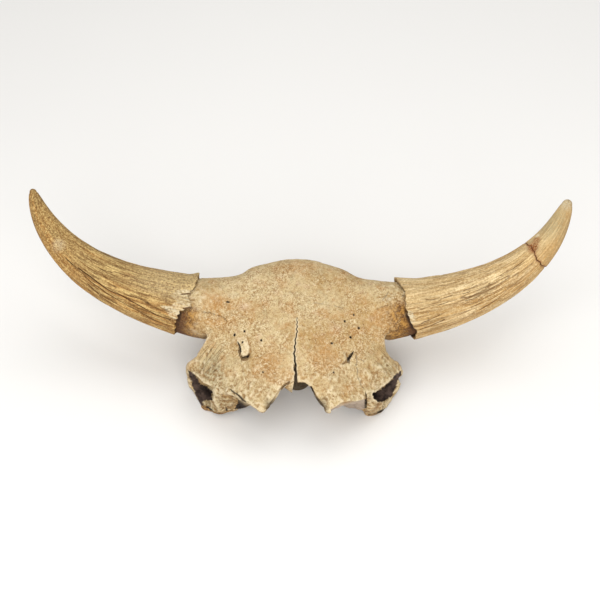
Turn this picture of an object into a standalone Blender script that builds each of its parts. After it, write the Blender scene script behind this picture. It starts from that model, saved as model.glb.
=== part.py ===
"""Half of a bison skull: the brow, eye sockets, brain case and both horns, lying with its forehead up.

The bone is blocked out in the skull's own frame: x to the viewer's right, y towards the back of the head
along the forehead, z out of the forehead, with the origin on the midline between the horns. Each bone is then
cut from the fused whole, and everything is tipped and raised as the skull lies on a table.
"""

import math

import bmesh
import bpy
from mathutils import Matrix, Vector

# Driving dimensions, in metres and radians.
TILT = math.radians(12)  # the forehead rises this much towards the back of the head
REST_HEIGHT = 0.1432  # of the skull frame's origin above the table
FIT_GAP = 0.0003  # between pieces that touch
VOXEL = 0.0028
BONE_TRIANGLES = 6600

# The forehead: how it curves from nose to poll and from side to side.
ROOF_RADIUS_LENGTHWISE = 0.420
ROOF_RADIUS_BETWEEN_HORNS = 0.400
ROOF_RADIUS_AT_POLL = 0.105
ROOF_RADIUS_AT_EYES = 0.200
POLL_START = 0.035
POLL_ROUNDING = 0.040
ROOF_THICKNESS = 0.007

# The broken front edge of the brow, seen square to the forehead, from the left eye to the right eye (mm).
FRONT_EDGE = (
    (-84, -135), (-76, -141), (-61, -149), (-49, -159), (-43, -162), (-35, -155), (-26, -144),
    (-21, -133), (-12, -127), (-4, -123), (2, -124), (13, -126), (19, -133), (26, -146), (33, -154),
    (39, -162), (49, -159), (58, -150), (72, -146), (88, -143),
)
# The rest of the roof's outline on one side, from the front of the eye socket to the poll (mm).
SIDE_EDGE = (
    (96, -131), (113, -118), (132, -101), (149, -84), (145, -77), (132, -73), (124, -64), (122, -52),
    (120, -36), (118, 8), (98, 28), (80, 42), (56, 57), (30, 66), (0, 69),
)

# The eye socket's rim: centre, radius and thickness, and how far it faces forwards.
ORBIT_CENTRES = {-1: Vector((-0.1280, -0.1090, -0.0870)), 1: Vector((0.1232, -0.1090, -0.0870))}
ORBIT_RADII = {-1: 0.0330, 1: 0.0318}
ORBIT_BAR = 0.0038
ORBIT_TURN = math.radians(50)
FLOOR_FROM, FLOOR_TO = 112, 286  # degrees round the rim that the pocket under the eye covers
# The opening between the brow and the rim, as someone who stands in front of the skull sees it from above:
# x, and how far up the line of sight's own plane, in millimetres.
SIGHT_UP = Vector((0.0, 0.866, 0.5))
SIGHT_LINE = Vector((0.0, 0.5, -0.866))
WINDOWS = {
    "left": (
        (-140, -109), (-132, -115), (-124, -123), (-118, -124), (-113, -131), (-112, -143), (-124, -146),
        (-130, -139), (-136, -128), (-140, -116),
    ),
    "right": (
        (103, -138), (110, -131), (119, -125), (127, -117), (135, -111), (139, -108), (132, -121),
        (127, -133), (122, -145), (117, -147), (107, -144),
    ),
}
WINDOW_DEPTH = (-0.060, 0.024)

# Where the fused bone is pulled out or pressed in: a place (x, y, z), how far round it the pull reaches, and
# how far it goes across the skull and up the viewer's own plane, all in millimetres.
PULLS = (
    ((-132, -64, -46), 30, (-4.0, 5.0)),
    ((-149, -79, -62), 20, (-4.5, 2.5)),
    ((-143, -86, -90), 17, (2.5, 0.0)),
    ((-122, -109, -120), 18, (-7.0, -1.0)),
    ((-90, -122, -112), 17, (0.0, 2.5)),
    ((129, -64, -44), 28, (-2.5, -2.5)),
    ((147, -79, -62), 20, (-3.0, 0.0)),
    ((139, -90, -92), 22, (-8.5, -1.0)),
    ((117, -109, -119), 17, (7.0, 1.0)),
    ((103, -126, -118), 15, (0.0, 2.0)),
)

# The horns: a centreline that turns upwards as it leaves the head, and a radius that tapers.
HORN_ROOT_X = 0.1177
HORN_ROOT_DROP = 0.036
HORN_PLANE = math.radians(30)  # the plane in which a horn curves, above the forehead
HORN_SAG = 0.008
HORN_TIP_FORWARD = 0.020
HORN_STEPS = 240
HORN_SIDES = 36
HORNS = {
    "left": dict(side=-1, root=-0.0041, length=0.3151, start=0.228, end=1.407, power=2.08,
                 base=0.0469, tip=0.0034, taper=0.678),
    "right": dict(side=1, root=-0.0074, length=0.3160, start=0.158, end=1.316, power=1.954,
                  base=0.0451, tip=0.0056, taper=0.705),
}
SHEATH_WALL = 0.0042
CORE_END = 0.26  # share of the horn's length where the bony core ends
SOCKET_CLEARANCE = 0.0013
# Where each sheath's broken rim lies, as (turn in degrees, share of the horn's length), from the top of the
# horn over the side that faces forwards.
RIMS = {
    "left": (
        (0, 0.074), (35, 0.070), (62, 0.072), (82, 0.086), (98, 0.082), (112, 0.098), (128, 0.132),
        (150, 0.150), (180, 0.156), (215, 0.128), (255, 0.118), (290, 0.090), (325, 0.078), (360, 0.074),
    ),
    "right": (
        (0, 0.068), (24, 0.078), (50, 0.090), (85, 0.096), (108, 0.106), (132, 0.124), (156, 0.146),
        (180, 0.136), (212, 0.112), (250, 0.128), (290, 0.092), (330, 0.074), (360, 0.068),
    ),
}
# The crack across the right horn, in the same terms.
TIP_CRACK = (
    (0, 0.735), (60, 0.752), (100, 0.770), (140, 0.800), (180, 0.822), (240, 0.790), (300, 0.750),
    (360, 0.735),
)
TIP_SHIFT = 0.0012  # the mended tip stands this much proud of the rest

# The crack down the middle of the brow, as (y, x, half its width), in millimetres.
MIDLINE = (
    (-200, -1.0, 1.9), (-123, -0.5, 1.9), (-111, -1.6, 1.7), (-93, -3.2, 1.5), (-79, -1.2, 1.2),
    (-64, 0.8, 0.8), (-52, 1.0, 0.5), (-42, 0.6, 0.15), (-20, 1.2, 0.15), (0, -0.6, 0.15), (25, 0.8, 0.15),
    (48, -0.4, 0.15), (100, 0.0, 0.15),
)

# Where one bone is parted from the next, in the skull frame.
PLATE = 0.0125  # depth of the frontal bones
CORE_PLANE = 0.108
CORE_FRONT = -0.0490
CORE_BOTTOM = -0.0850
OCCIPUT_PLANE = 0.0430
ORBIT_PLANE = -0.0525
ORBIT_INNER = 0.0345


def smooth(low, high, value):
    """0 below low, 1 above high, with an easy curve between."""
    t = min(1.0, max(0.0, (value - low) / (high - low)))
    return t * t * (3 - 2 * t)


def roof_height(x, y):
    """Height of the forehead's outer surface over a point of the skull frame."""
    across = ROOF_RADIUS_BETWEEN_HORNS
    across += (ROOF_RADIUS_AT_POLL - ROOF_RADIUS_BETWEEN_HORNS) * smooth(-0.005, 0.058, y)
    across += (ROOF_RADIUS_AT_EYES - ROOF_RADIUS_BETWEEN_HORNS) * smooth(0.020, 0.080, -y)
    lengthwise = y * y / (2 * ROOF_RADIUS_LENGTHWISE)
    poll = max(0.0, y - POLL_START) ** 2 / (2 * POLL_ROUNDING)
    return -lengthwise - poll - x * x / (2 * across)


def clear_scene():
    for obj in list(bpy.data.objects):
        bpy.data.objects.remove(obj, do_unlink=True)


def collection(name):
    made = bpy.data.collections.new(name)
    bpy.context.scene.collection.children.link(made)
    return made


def material(name, colour, roughness):
    made = bpy.data.materials.new(name)
    made.use_nodes = True
    shader = made.node_tree.nodes["Principled BSDF"]
    shader.inputs["Base Color"].default_value = (*colour, 1.0)
    shader.inputs["Roughness"].default_value = roughness
    shader.inputs["Metallic"].default_value = 0.0
    return made


def mesh_object(name, work, group):
    """An object in a collection, from a bmesh."""
    bmesh.ops.recalc_face_normals(work, faces=work.faces)
    mesh = bpy.data.meshes.new(name)
    work.to_mesh(mesh)
    work.free()
    obj = bpy.data.objects.new(name, mesh)
    group.objects.link(obj)
    return obj


def ellipsoid(name, centre, radii, group, turn=None, around=32):
    work = bmesh.new()
    place = Matrix.Translation(centre) @ (turn or Matrix()) @ Matrix.Diagonal((*radii, 1.0))
    bmesh.ops.create_uvsphere(work, u_segments=around, v_segments=around // 2 + 2, radius=1.0, matrix=place)
    return mesh_object(name, work, group)


def loft(name, rings, group):
    """A closed body through rings of points with the same count, capped at both ends."""
    work = bmesh.new()
    rows = [[work.verts.new(point) for point in ring] for ring in rings]
    count = len(rows[0])
    for low, high in zip(rows, rows[1:]):
        for i in range(count):
            j = (i + 1) % count
            work.faces.new((low[i], low[j], high[j], high[i]))
    for row in (rows[0], rows[-1]):
        middle = work.verts.new(sum((v.co for v in row), Vector()) / count)
        for i in range(count):
            work.faces.new((row[i], row[(i + 1) % count], middle))
    return mesh_object(name, work, group)


def ring_about(centre, along, radius, sides, reference):
    """Points of a circle square to a direction."""
    along = along.normalized()
    across = along.cross(reference).normalized()
    rise = across.cross(along)
    angles = (2 * math.pi * i / sides for i in range(sides))
    return [centre + radius * (math.cos(a) * across + math.sin(a) * rise) for a in angles]


def tapered(name, stations, group, sides=20):
    """A round limb through (point, radius) stations."""
    points = [Vector(point) for point, _ in stations]
    whole = (points[-1] - points[0]).normalized()
    upright = abs(whole.z) > 0.8
    reference = Vector((1.0, 0.0, 0.0)) if upright else Vector((0.0, 0.0, 1.0))
    rings = []
    for i, (_, radius) in enumerate(stations):
        along = points[min(i + 1, len(points) - 1)] - points[max(i - 1, 0)]
        rings.append(ring_about(points[i], along, radius, sides, reference))
    return loft(name, rings, group)


def prism(name, outline, low, high, group):
    """A flat outline in x and y, in millimetres, raised from one height to another."""
    work = bmesh.new()
    face = work.faces.new([work.verts.new((x / 1000, y / 1000, low)) for x, y in outline])
    grown = bmesh.ops.extrude_face_region(work, geom=[face])
    for item in grown["geom"]:
        if isinstance(item, bmesh.types.BMVert):
            item.co.z = high
    return mesh_object(name, work, group)


def apply_modifiers(obj):
    """Keeps what the modifiers make as the object's own mesh."""
    graph = bpy.context.evaluated_depsgraph_get()
    made = bpy.data.meshes.new_from_object(obj.evaluated_get(graph))
    obj.modifiers.clear()
    obj.data = made
    return obj


def boolean(obj, other, operation, solver="EXACT"):
    step = obj.modifiers.new(operation.lower(), "BOOLEAN")
    step.operation = operation
    step.object = other
    step.solver = solver
    apply_modifiers(obj)
    return obj


def largest_body(obj):
    """Drops all but the largest closed surface."""
    work = bmesh.new()
    work.from_mesh(obj.data)
    left = set(work.faces)
    bodies = []
    while left:
        start = left.pop()
        body, border = {start}, [start]
        while border:
            for edge in border.pop().edges:
                for face in edge.link_faces:
                    if face in left:
                        left.discard(face)
                        body.add(face)
                        border.append(face)
        bodies.append(body)
    bodies.sort(key=len)
    for body in bodies[:-1]:
        bmesh.ops.delete(work, geom=list(body), context="FACES")
    work.to_mesh(obj.data)
    work.free()
    return obj


def mend(obj):
    """Cuts out the few points where thinning has pinched the surface, and closes it over them."""
    work = bmesh.new()
    work.from_mesh(obj.data)
    for _ in range(6):
        pinched = [vert for vert in work.verts if not vert.is_manifold]
        if not pinched:
            break
        bmesh.ops.delete(work, geom=pinched, context="VERTS")
        open_edges = [edge for edge in work.edges if edge.is_boundary]
        bmesh.ops.holes_fill(work, edges=open_edges, sides=0)
        bmesh.ops.triangulate(work, faces=[face for face in work.faces if len(face.verts) > 3])
    bmesh.ops.recalc_face_normals(work, faces=work.faces)
    work.to_mesh(obj.data)
    work.free()
    return obj


# The roof: a grid bent over the brow, thickened, and trimmed to its outline.
def make_roof(group):
    half_width, front, back = 0.160, -0.180, 0.080
    bpy.ops.mesh.primitive_grid_add(x_subdivisions=64, y_subdivisions=52, size=1)
    roof = bpy.context.active_object
    roof.name = "roof"
    for vert in roof.data.vertices:
        x = vert.co.x * 2 * half_width
        y = front + (vert.co.y + 0.5) * (back - front)
        vert.co = (x, y, roof_height(x, y))
    for owner in list(roof.users_collection):
        owner.objects.unlink(roof)
    group.objects.link(roof)
    wall = roof.modifiers.new("thickness", "SOLIDIFY")
    wall.thickness = ROOF_THICKNESS
    wall.offset = -1
    apply_modifiers(roof)
    right = list(SIDE_EDGE)
    left = [(-x, y) for x, y in reversed(SIDE_EDGE[:-1])]
    trim = prism("roof_trim", list(FRONT_EDGE) + right + left, -0.15, 0.05, group)
    boolean(roof, trim, "INTERSECT")
    bpy.data.objects.remove(trim)
    return roof


def orbit_point(side, turn, radius, depth=0.0):
    """A point of the eye socket's rim, turned round from its top, and moved inwards along the socket."""
    centre = ORBIT_CENTRES[side]
    inward = Vector((-side * math.cos(ORBIT_TURN), -math.sin(ORBIT_TURN), 0.0))
    axis = Vector((side * math.sin(ORBIT_TURN), -math.cos(ORBIT_TURN), 0.05))
    up = Vector((0.0, 0.0, 1.0))
    return centre + radius * (math.sin(turn) * inward + math.cos(turn) * up) - depth * axis


def make_orbit_rim(side, group, sides=12, steps=40):
    """A bony ring, thin and round behind the eye and a deep lip in front of it."""
    work = bmesh.new()
    rows = []
    for i in range(steps):
        turn = 2 * math.pi * i / steps
        front = smooth(-0.2, 0.9, math.sin(turn))
        deep = ORBIT_BAR + 0.0055 * front
        thick = ORBIT_BAR + 0.0009 * front
        corner = 0.0100 * max(0.0, -math.cos(turn)) * max(0.0, -math.sin(turn))
        row = []
        for j in range(sides):
            a = 2 * math.pi * j / sides
            wobble = 0.0009 * math.sin(5 * turn + 1.3 * side) + 0.0006 * math.sin(11 * turn)
            radius = ORBIT_RADII[side] + wobble + corner + thick * math.cos(a)
            row.append(work.verts.new(orbit_point(side, turn, radius, deep * (math.sin(a) + 0.7 * front))))
        rows.append(row)
    for i, row in enumerate(rows):
        after = rows[(i + 1) % steps]
        for j in range(sides):
            k = (j + 1) % sides
            work.faces.new((row[j], row[k], after[k], after[j]))
    return mesh_object("orbit_rim", work, group)


def make_orbit_floor(side, group):
    """The pocket of bone under and behind the eye, which narrows inwards."""
    work = bmesh.new()
    rows = []
    for i in range(6):
        depth = 0.034 * i / 5
        row = []
        for j in range(13):
            turn = math.radians(FLOOR_FROM + (FLOOR_TO - FLOOR_FROM) * j / 12)
            radius = ORBIT_RADII[side] * (1 - 0.45 * depth / 0.046)
            row.append(work.verts.new(orbit_point(side, turn, radius, depth)))
        rows.append(row)
    for low, high in zip(rows, rows[1:]):
        for i in range(len(low) - 1):
            work.faces.new((low[i], low[i + 1], high[i + 1], high[i]))
    floor = mesh_object("orbit_floor", work, group)
    step = floor.modifiers.new("thickness", "SOLIDIFY")
    step.thickness = 0.0058
    step.offset = 0
    return apply_modifiers(floor)


# The wall between eye and nose, which bends outwards into the front of the socket: y, x, lowest z (mm).
WALL_BACK = ((-30, 34, -96), (-58, 42, -96), (-88, 47, -100))
WALLS = {
    "left": WALL_BACK + (
        (-108, 57, -113), (-119, 70, -97), (-123, 77, -95), (-125, 82, -106), (-126, 95, -113),
        (-125, 109, -116), (-121, 119, -118),
    ),
    "right": WALL_BACK + (
        (-108, 55, -121), (-119, 70, -107), (-125, 86, -98), (-126, 91, -99), (-127, 94, -119),
        (-128, 101, -121), (-125, 111, -122), (-121, 118, -123),
    ),
}
WALL_THICKNESS = 0.0065


def make_orbit_wall(name, group):
    side = HORNS[name]["side"]
    work = bmesh.new()
    rows = []
    for y, x, low in WALLS[name]:
        y, x, low = y / 1000, x / 1000, low / 1000
        top = roof_height(x, y) - ROOF_THICKNESS / 2
        steps = 8
        rows.append([work.verts.new((side * x, y, top + (low - top) * i / steps)) for i in range(steps + 1)])
    for low, high in zip(rows, rows[1:]):
        for i in range(len(low) - 1):
            work.faces.new((low[i], low[i + 1], high[i + 1], high[i]))
    wall = mesh_object("orbit_wall", work, group)
    step = wall.modifiers.new("thickness", "SOLIDIFY")
    step.thickness = WALL_THICKNESS
    step.offset = 0
    return apply_modifiers(wall)


def horn_line(horn):
    """The centreline of a horn, as (along, rise, heading) steps from its root."""
    line = [(0.0, 0.0)]
    headings = []
    step = horn["length"] / HORN_STEPS
    for i in range(HORN_STEPS + 1):
        share = i / HORN_STEPS
        turn = horn["start"] + (horn["end"] - horn["start"]) * share ** horn["power"]
        headings.append(turn * smooth(-0.02, 0.15, share))
    for before, after in zip(headings, headings[1:]):
        along, rise = line[-1]
        middle = (before + after) / 2
        line.append((along + step * math.cos(middle), rise + step * math.sin(middle)))
    return line, headings


LINES = {name: horn_line(horn) for name, horn in HORNS.items()}


def horn_radius(name, share):
    horn = HORNS[name]
    return horn["tip"] + (horn["base"] - horn["tip"]) * min(1.0, max(0.0, 1 - share)) ** horn["taper"]


def core_radius(name, share):
    end = smooth(CORE_END, CORE_END - 0.10, share) if share > CORE_END - 0.10 else 1.0
    return (horn_radius(name, share) - SHEATH_WALL - 0.002 * share / CORE_END) * (0.55 + 0.45 * end)


def horn_point(name, share, turn=0.0, radius=0.0):
    """A point of a horn at a share of its length, turned from its top over its front face."""
    horn = HORNS[name]
    line, headings = LINES[name]
    place = min(max(share, 0.0), 1.0) * HORN_STEPS
    i = min(int(place), HORN_STEPS - 1)
    part = place - i
    along = line[i][0] + (line[i + 1][0] - line[i][0]) * part
    rise = line[i][1] + (line[i + 1][1] - line[i][1]) * part
    heading = headings[i] + (headings[i + 1] - headings[i]) * part
    over = (share - min(max(share, 0.0), 1.0)) * horn["length"]
    along += over * math.cos(heading)
    rise += over * math.sin(heading) + horn["root"]
    held = max(share, 0.0)
    lift = -4 * HORN_SAG * held * (1 - held) + HORN_TIP_FORWARD * held * held
    out = Vector((horn["side"], 0.0, 0.0))
    up = Vector((0.0, math.cos(HORN_PLANE), math.sin(HORN_PLANE)))
    face = Vector((0.0, -math.sin(HORN_PLANE), math.cos(HORN_PLANE)))
    centre = Vector((0.0, 0.0, -HORN_ROOT_DROP)) + (HORN_ROOT_X + along) * out + rise * up + lift * face
    inner = math.cos(heading) * up - math.sin(heading) * out
    return centre + radius * (math.cos(turn) * inner + math.sin(turn) * face)


def between(table, degrees):
    """Reads a table of (turn, value) at a turn, with straight lines between its entries."""
    degrees %= 360
    for (low, first), (high, second) in zip(table, table[1:]):
        if degrees <= high:
            return first + (second - first) * (degrees - low) / (high - low)
    return table[-1][1]


def flutes(name, share, turn):
    """The shallow lengthwise grooves of a sheath, fading towards its tip."""
    shift = 1.7 if name == "left" else 4.1
    wave = 0.012 * math.sin(3 * turn + shift)
    wave += 0.010 * math.sin(9 * turn + shift + 3 * share)
    wave += 0.008 * math.sin(13 * turn + 2 * shift - 4 * share)
    return 1 + wave * (1 - smooth(0.62, 0.95, share))


def turns():
    return [2 * math.pi * i / HORN_SIDES for i in range(HORN_SIDES)]


def horn_rings(name, start, end, rows, radius_of):
    """Rings between two edges, each a table of shares round the horn or one share for all of it."""
    rings = []
    for i in range(rows + 1):
        ring = []
        for turn in turns():
            low = between(start, math.degrees(turn)) if isinstance(start, tuple) else start
            high = between(end, math.degrees(turn)) if isinstance(end, tuple) else end
            share = low + (high - low) * i / rows
            ring.append(horn_point(name, share, turn, radius_of(share, turn)))
        rings.append(ring)
    return rings


def tip_rings(name):
    """Two last rings that round the tip off."""
    tip = HORNS[name]["tip"]
    length = HORNS[name]["length"]
    return [[horn_point(name, 1 + tip * out / length, turn, tip * wide) for turn in turns()]
            for out, wide in ((0.5, 0.85), (0.85, 0.5))]


def socket_rings(name):
    def inside(share, turn):
        return core_radius(name, share) + SOCKET_CLEARANCE
    return horn_rings(name, CORE_END + 0.004, RIMS[name], 7, inside)


def crack_block(towards_tip, group):
    """Everything on one side of the crack across the right horn."""
    name = "right"
    ring = [horn_point(name, between(TIP_CRACK, math.degrees(turn)), turn, 0.05) for turn in turns()]
    middle = TIP_CRACK[0][1] / 2 + TIP_CRACK[4][1] / 2
    along = (horn_point(name, middle + 0.02) - horn_point(name, middle - 0.02)).normalized()
    if not towards_tip:
        along = -along
    centre = sum(ring, Vector()) / len(ring)
    near = [point + along * FIT_GAP / 2 for point in ring]
    away = [point + along * 0.4 + 6 * (point - centre) for point in near]
    return loft("crack_block", [near, away], group)


def make_sheath(name, group):
    """The horn sheath, from its broken rim to the tip, or to the crack across the right one."""
    def outside(share, turn):
        return horn_radius(name, share) * flutes(name, share, turn)
    if name == "left":
        rings = horn_rings(name, RIMS[name], 1.0, 24, outside) + tip_rings(name)
    else:
        rings = horn_rings(name, RIMS[name], 0.88, 20, outside)
    sheath = loft("horn_sheath_" + name, socket_rings(name) + rings, group)
    if name == "right":
        boolean(sheath, crack_block(False, cutters), "INTERSECT", "MANIFOLD")
    return sheath


def make_tip(group):
    """The end of the right horn, which broke off and was set back a little out of line."""
    name = "right"

    def outside(share, turn):
        step = TIP_SHIFT * smooth(0.95, 0.80, share)
        return horn_radius(name, share) * flutes(name, share, turn) + step * (0.4 - math.cos(turn)) / 1.4
    rings = horn_rings(name, 0.70, 1.0, 10, outside) + tip_rings(name)
    tip = loft("horn_tip_right", rings, group)
    return boolean(tip, crack_block(True, cutters), "INTERSECT", "MANIFOLD")


def make_core(name, group):
    """The bony core: out of the side of the brow and a little way into the horn."""
    side = HORNS[name]["side"]
    rise = 0.004 if name == "left" else 0.0
    stations = [
        (Vector((side * 0.020, 0.004, -0.040)), 0.034),
        (Vector((side * 0.055, 0.004 + rise / 2, -0.039)), 0.0350),
        (Vector((side * 0.090, 0.002 + rise, -0.039)), 0.0378),
    ]
    for i in range(13):
        share = 0.02 + (CORE_END - 0.02) * i / 12
        stations.append((horn_point(name, share), core_radius(name, share)))
    return tapered("core_" + name, stations, group, sides=HORN_SIDES)


def make_nape(group):
    """The broad plate at the back of the skull, with the crest that edges it."""
    outline = (
        (-40, -150), (-64, -136), (-82, -128), (-100, -128), (-117, -116), (-121, -98), (-110, -80),
        (-88, -66), (-50, -42), (0, -34), (50, -42), (88, -66), (110, -80), (121, -98), (117, -116),
        (100, -128), (82, -128), (64, -136), (40, -150),
    )
    plate = prism("nape", outline, -0.058, -0.030, group)
    plate.data.transform(Matrix.Rotation(math.radians(90), 4, "X"))
    return plate


def make_bone(group):
    """The whole fused bone, before it is parted."""
    pieces = [
        make_roof(group),
        make_nape(group),
        ellipsoid("brain_case", (0, 0.005, -0.078), (0.064, 0.072, 0.056), group),
        ellipsoid("sinus", (0, -0.008, -0.042), (0.070, 0.056, 0.040), group),
        ellipsoid("poll", (0, 0.030, -0.044), (0.086, 0.036, 0.036), group),
        ellipsoid("nape_boss", (0, 0.056, -0.062), (0.012, 0.012, 0.022), group),
        ellipsoid("occiput", (0, 0.047, -0.108), (0.064, 0.022, 0.036), group),
        ellipsoid("base", (0, 0.026, -0.130), (0.026, 0.062, 0.016), group),
        ellipsoid("sphenoid", (0, -0.050, -0.102), (0.031, 0.047, 0.020), group),
        prism("nose_wall", ((-3.2, -40), (-3.2, -100), (3.2, -100), (3.2, -40)), -0.080, -0.020, group),
    ]
    for name, horn in HORNS.items():
        side = horn["side"]
        pieces += [
            ellipsoid("condyle", (side * 0.034, 0.068, -0.1325), (0.019, 0.027, 0.031), group,
                      Matrix.Rotation(side * math.radians(26), 4, "Y")),
            ellipsoid("condyle_root", (side * 0.030, 0.052, -0.132), (0.030, 0.024, 0.022), group),
            ellipsoid("nose_end", (side * 0.019, -0.064, -0.047), (0.022, 0.043, 0.038), group),
            ellipsoid("mastoid", (side * 0.100, 0.040, -0.106), (0.021, 0.022, 0.025), group),
            ellipsoid("bulla", (side * 0.047, 0.022, -0.132), (0.014, 0.021, 0.016), group),
            tapered("paroccipital", [
                (Vector((side * 0.068, 0.052, -0.108)), 0.019),
                (Vector((side * 0.072, 0.056, -0.132)), 0.013),
                (Vector((side * 0.073, 0.056, -0.150)), 0.0075),
            ], group),
            ellipsoid("jaw_joint", (side * 0.078, 0.002, -0.112), (0.036, 0.022, 0.013), group),
            tapered("ear_tube", [
                (Vector((side * 0.050, 0.022, -0.112)), 0.013),
                (Vector((side * 0.090, 0.024, -0.104)), 0.011),
                (Vector((side * 0.108, 0.022, -0.098)), 0.010),
            ], group),
            tapered("cheek_root", [
                (Vector((side * 0.080, 0.016, -0.106)), 0.017),
                (Vector((side * 0.104, 0.002, -0.108)), 0.013),
                (Vector((side * 0.115, -0.016, -0.107)), 0.0105),
                (Vector((side * 0.119, -0.036, -0.104)), 0.0085),
            ], group),
            make_orbit_rim(side, group),
            make_orbit_floor(side, group),
            make_orbit_wall(name, group),
            make_core(name, group),
        ]
    pieces.append(tapered("nose_splinter", [
        (Vector((-0.014, -0.116, -0.022)), 0.006),
        (Vector((-0.011, -0.122, -0.032)), 0.0045),
        (Vector((-0.007, -0.130, -0.044)), 0.0024),
    ], group, sides=10))
    work = bmesh.new()
    for piece in pieces:
        work.from_mesh(piece.data)
        bpy.data.objects.remove(piece)
    bone = mesh_object("bone", work, group)
    melt = bone.modifiers.new("melt", "REMESH")
    melt.mode = "VOXEL"
    melt.voxel_size = VOXEL
    ease = bone.modifiers.new("ease", "SMOOTH")
    ease.factor = 0.5
    ease.iterations = 6
    apply_modifiers(bone)
    soften(bone)
    pull(bone)
    thin = bone.modifiers.new("thin", "DECIMATE")
    bone.data.calc_loop_triangles()
    thin.ratio = BONE_TRIANGLES / len(bone.data.loop_triangles)
    apply_modifiers(bone)
    mend(largest_body(bone))
    for cutter in hollows(group):
        boolean(bone, cutter, "DIFFERENCE")
        bpy.data.objects.remove(cutter)
    return largest_body(bone)


def pull(bone):
    """Pulls the corners of the brow and of the eye sockets to their places, easing off round each."""
    for place, reach, (across, up) in PULLS:
        place = Vector(place) / 1000
        move = Vector((across / 1000, 0.0, 0.0)) + up / 1000 * SIGHT_UP
        for vert in bone.data.vertices:
            share = smooth(reach / 1000, 0.0, (vert.co - place).length)
            vert.co += share * move


def soften(bone):
    """Melts the roots of the horns into the forehead, and the edge of the nape into the brain case."""
    brow = bone.vertex_groups.new(name="brow")
    nape = bone.vertex_groups.new(name="nape")
    for vert in bone.data.vertices:
        x, y, z = vert.co
        share = smooth(-0.075, -0.035, y) * smooth(0.130, 0.108, abs(x)) * smooth(-0.060, -0.035, z)
        if share > 0:
            brow.add([vert.index], share, "REPLACE")
        share = smooth(0.000, 0.020, y) * smooth(-0.050, -0.066, z) * smooth(-0.128, -0.112, z)
        if share > 0:
            nape.add([vert.index], share, "REPLACE")
    for group, rounds in (("brow", 60), ("nape", 24)):
        ease = bone.modifiers.new(group, "SMOOTH")
        ease.factor = 0.8
        ease.iterations = rounds
        ease.vertex_group = group
    apply_modifiers(bone)
    bone.vertex_groups.clear()


def window_block(name, group):
    """A block along the line of sight that clears the opening between the brow and the eye socket's rim."""
    outline = [Vector((x / 1000, 0, 0)) + up / 1000 * SIGHT_UP for x, up in WINDOWS[name]]
    rings = [[point + depth * SIGHT_LINE for point in outline] for depth in WINDOW_DEPTH]
    return loft("window_" + name, rings, group)


def hollows(group):
    """The hole for the spinal cord, the ear holes, the two broken pits in the brow and the eye openings."""
    made = [
        ellipsoid("spine_hole", (0, 0.080, -0.124), (0.0185, 0.040, 0.0175), group, around=24),
        ellipsoid("brow_pit", (-0.066, -0.086, roof_height(0.066, -0.086)), (0.0050, 0.0065, 0.0055), group,
                  around=12),
        ellipsoid("brow_slot", (0.070, -0.087, roof_height(0.070, -0.087)), (0.0030, 0.0085, 0.0045), group,
                  Matrix.Rotation(math.radians(38), 4, "Z"), around=12),
    ]
    for name, horn in HORNS.items():
        place = (horn["side"] * 0.116, 0.022, -0.097)
        made.append(ellipsoid("ear_hole", place, (0.016, 0.0055, 0.0055), group, around=14))
        made.append(window_block(name, group))
    return made


def box(name, low, high, group):
    corners = [(low[0], low[1]), (high[0], low[1]), (high[0], high[1]), (low[0], high[1])]
    outline = [(x * 1000, y * 1000) for x, y in corners]
    return prism(name, outline, low[2], high[2], group)


def roof_block(name, level, far, group):
    """Everything between the forehead's surface, moved down to a level, and a far height."""
    steps_x, steps_y = 24, 20
    work = bmesh.new()
    near, away = [], []
    for j in range(steps_y + 1):
        y = -0.20 + 0.32 * j / steps_y
        for i in range(steps_x + 1):
            x = -0.20 + 0.40 * i / steps_x
            near.append(work.verts.new((x, y, roof_height(x, y) - level)))
            away.append(work.verts.new((x, y, far)))
    wide = steps_x + 1
    for j in range(steps_y):
        for i in range(steps_x):
            k = j * wide + i
            for row in (near, away):
                # Triangles, so that the blocks above and below the plate share the same creases.
                work.faces.new((row[k], row[k + 1], row[k + wide + 1]))
                work.faces.new((row[k], row[k + wide + 1], row[k + wide]))
    edge = [i for i in range(wide)]
    edge += [wide - 1 + j * wide for j in range(1, steps_y + 1)]
    edge += [steps_y * wide + i for i in range(wide - 2, -1, -1)]
    edge += [j * wide for j in range(steps_y - 1, 0, -1)]
    for k, m in zip(edge, edge[1:] + edge[:1]):
        work.faces.new((near[k], near[m], away[m], away[k]))
    return mesh_object(name, work, group)


def part_off(whole, name, blocks, operation="INTERSECT"):
    """A copy of the whole that lies inside every block, or outside them all."""
    piece = bpy.data.objects.new(name, whole.data.copy())
    skull.objects.link(piece)
    for block in blocks:
        # The exact solver loses whole pieces on this dense mesh, and this one doesn't.
        boolean(piece, block, operation, "MANIFOLD")
    return piece


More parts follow.
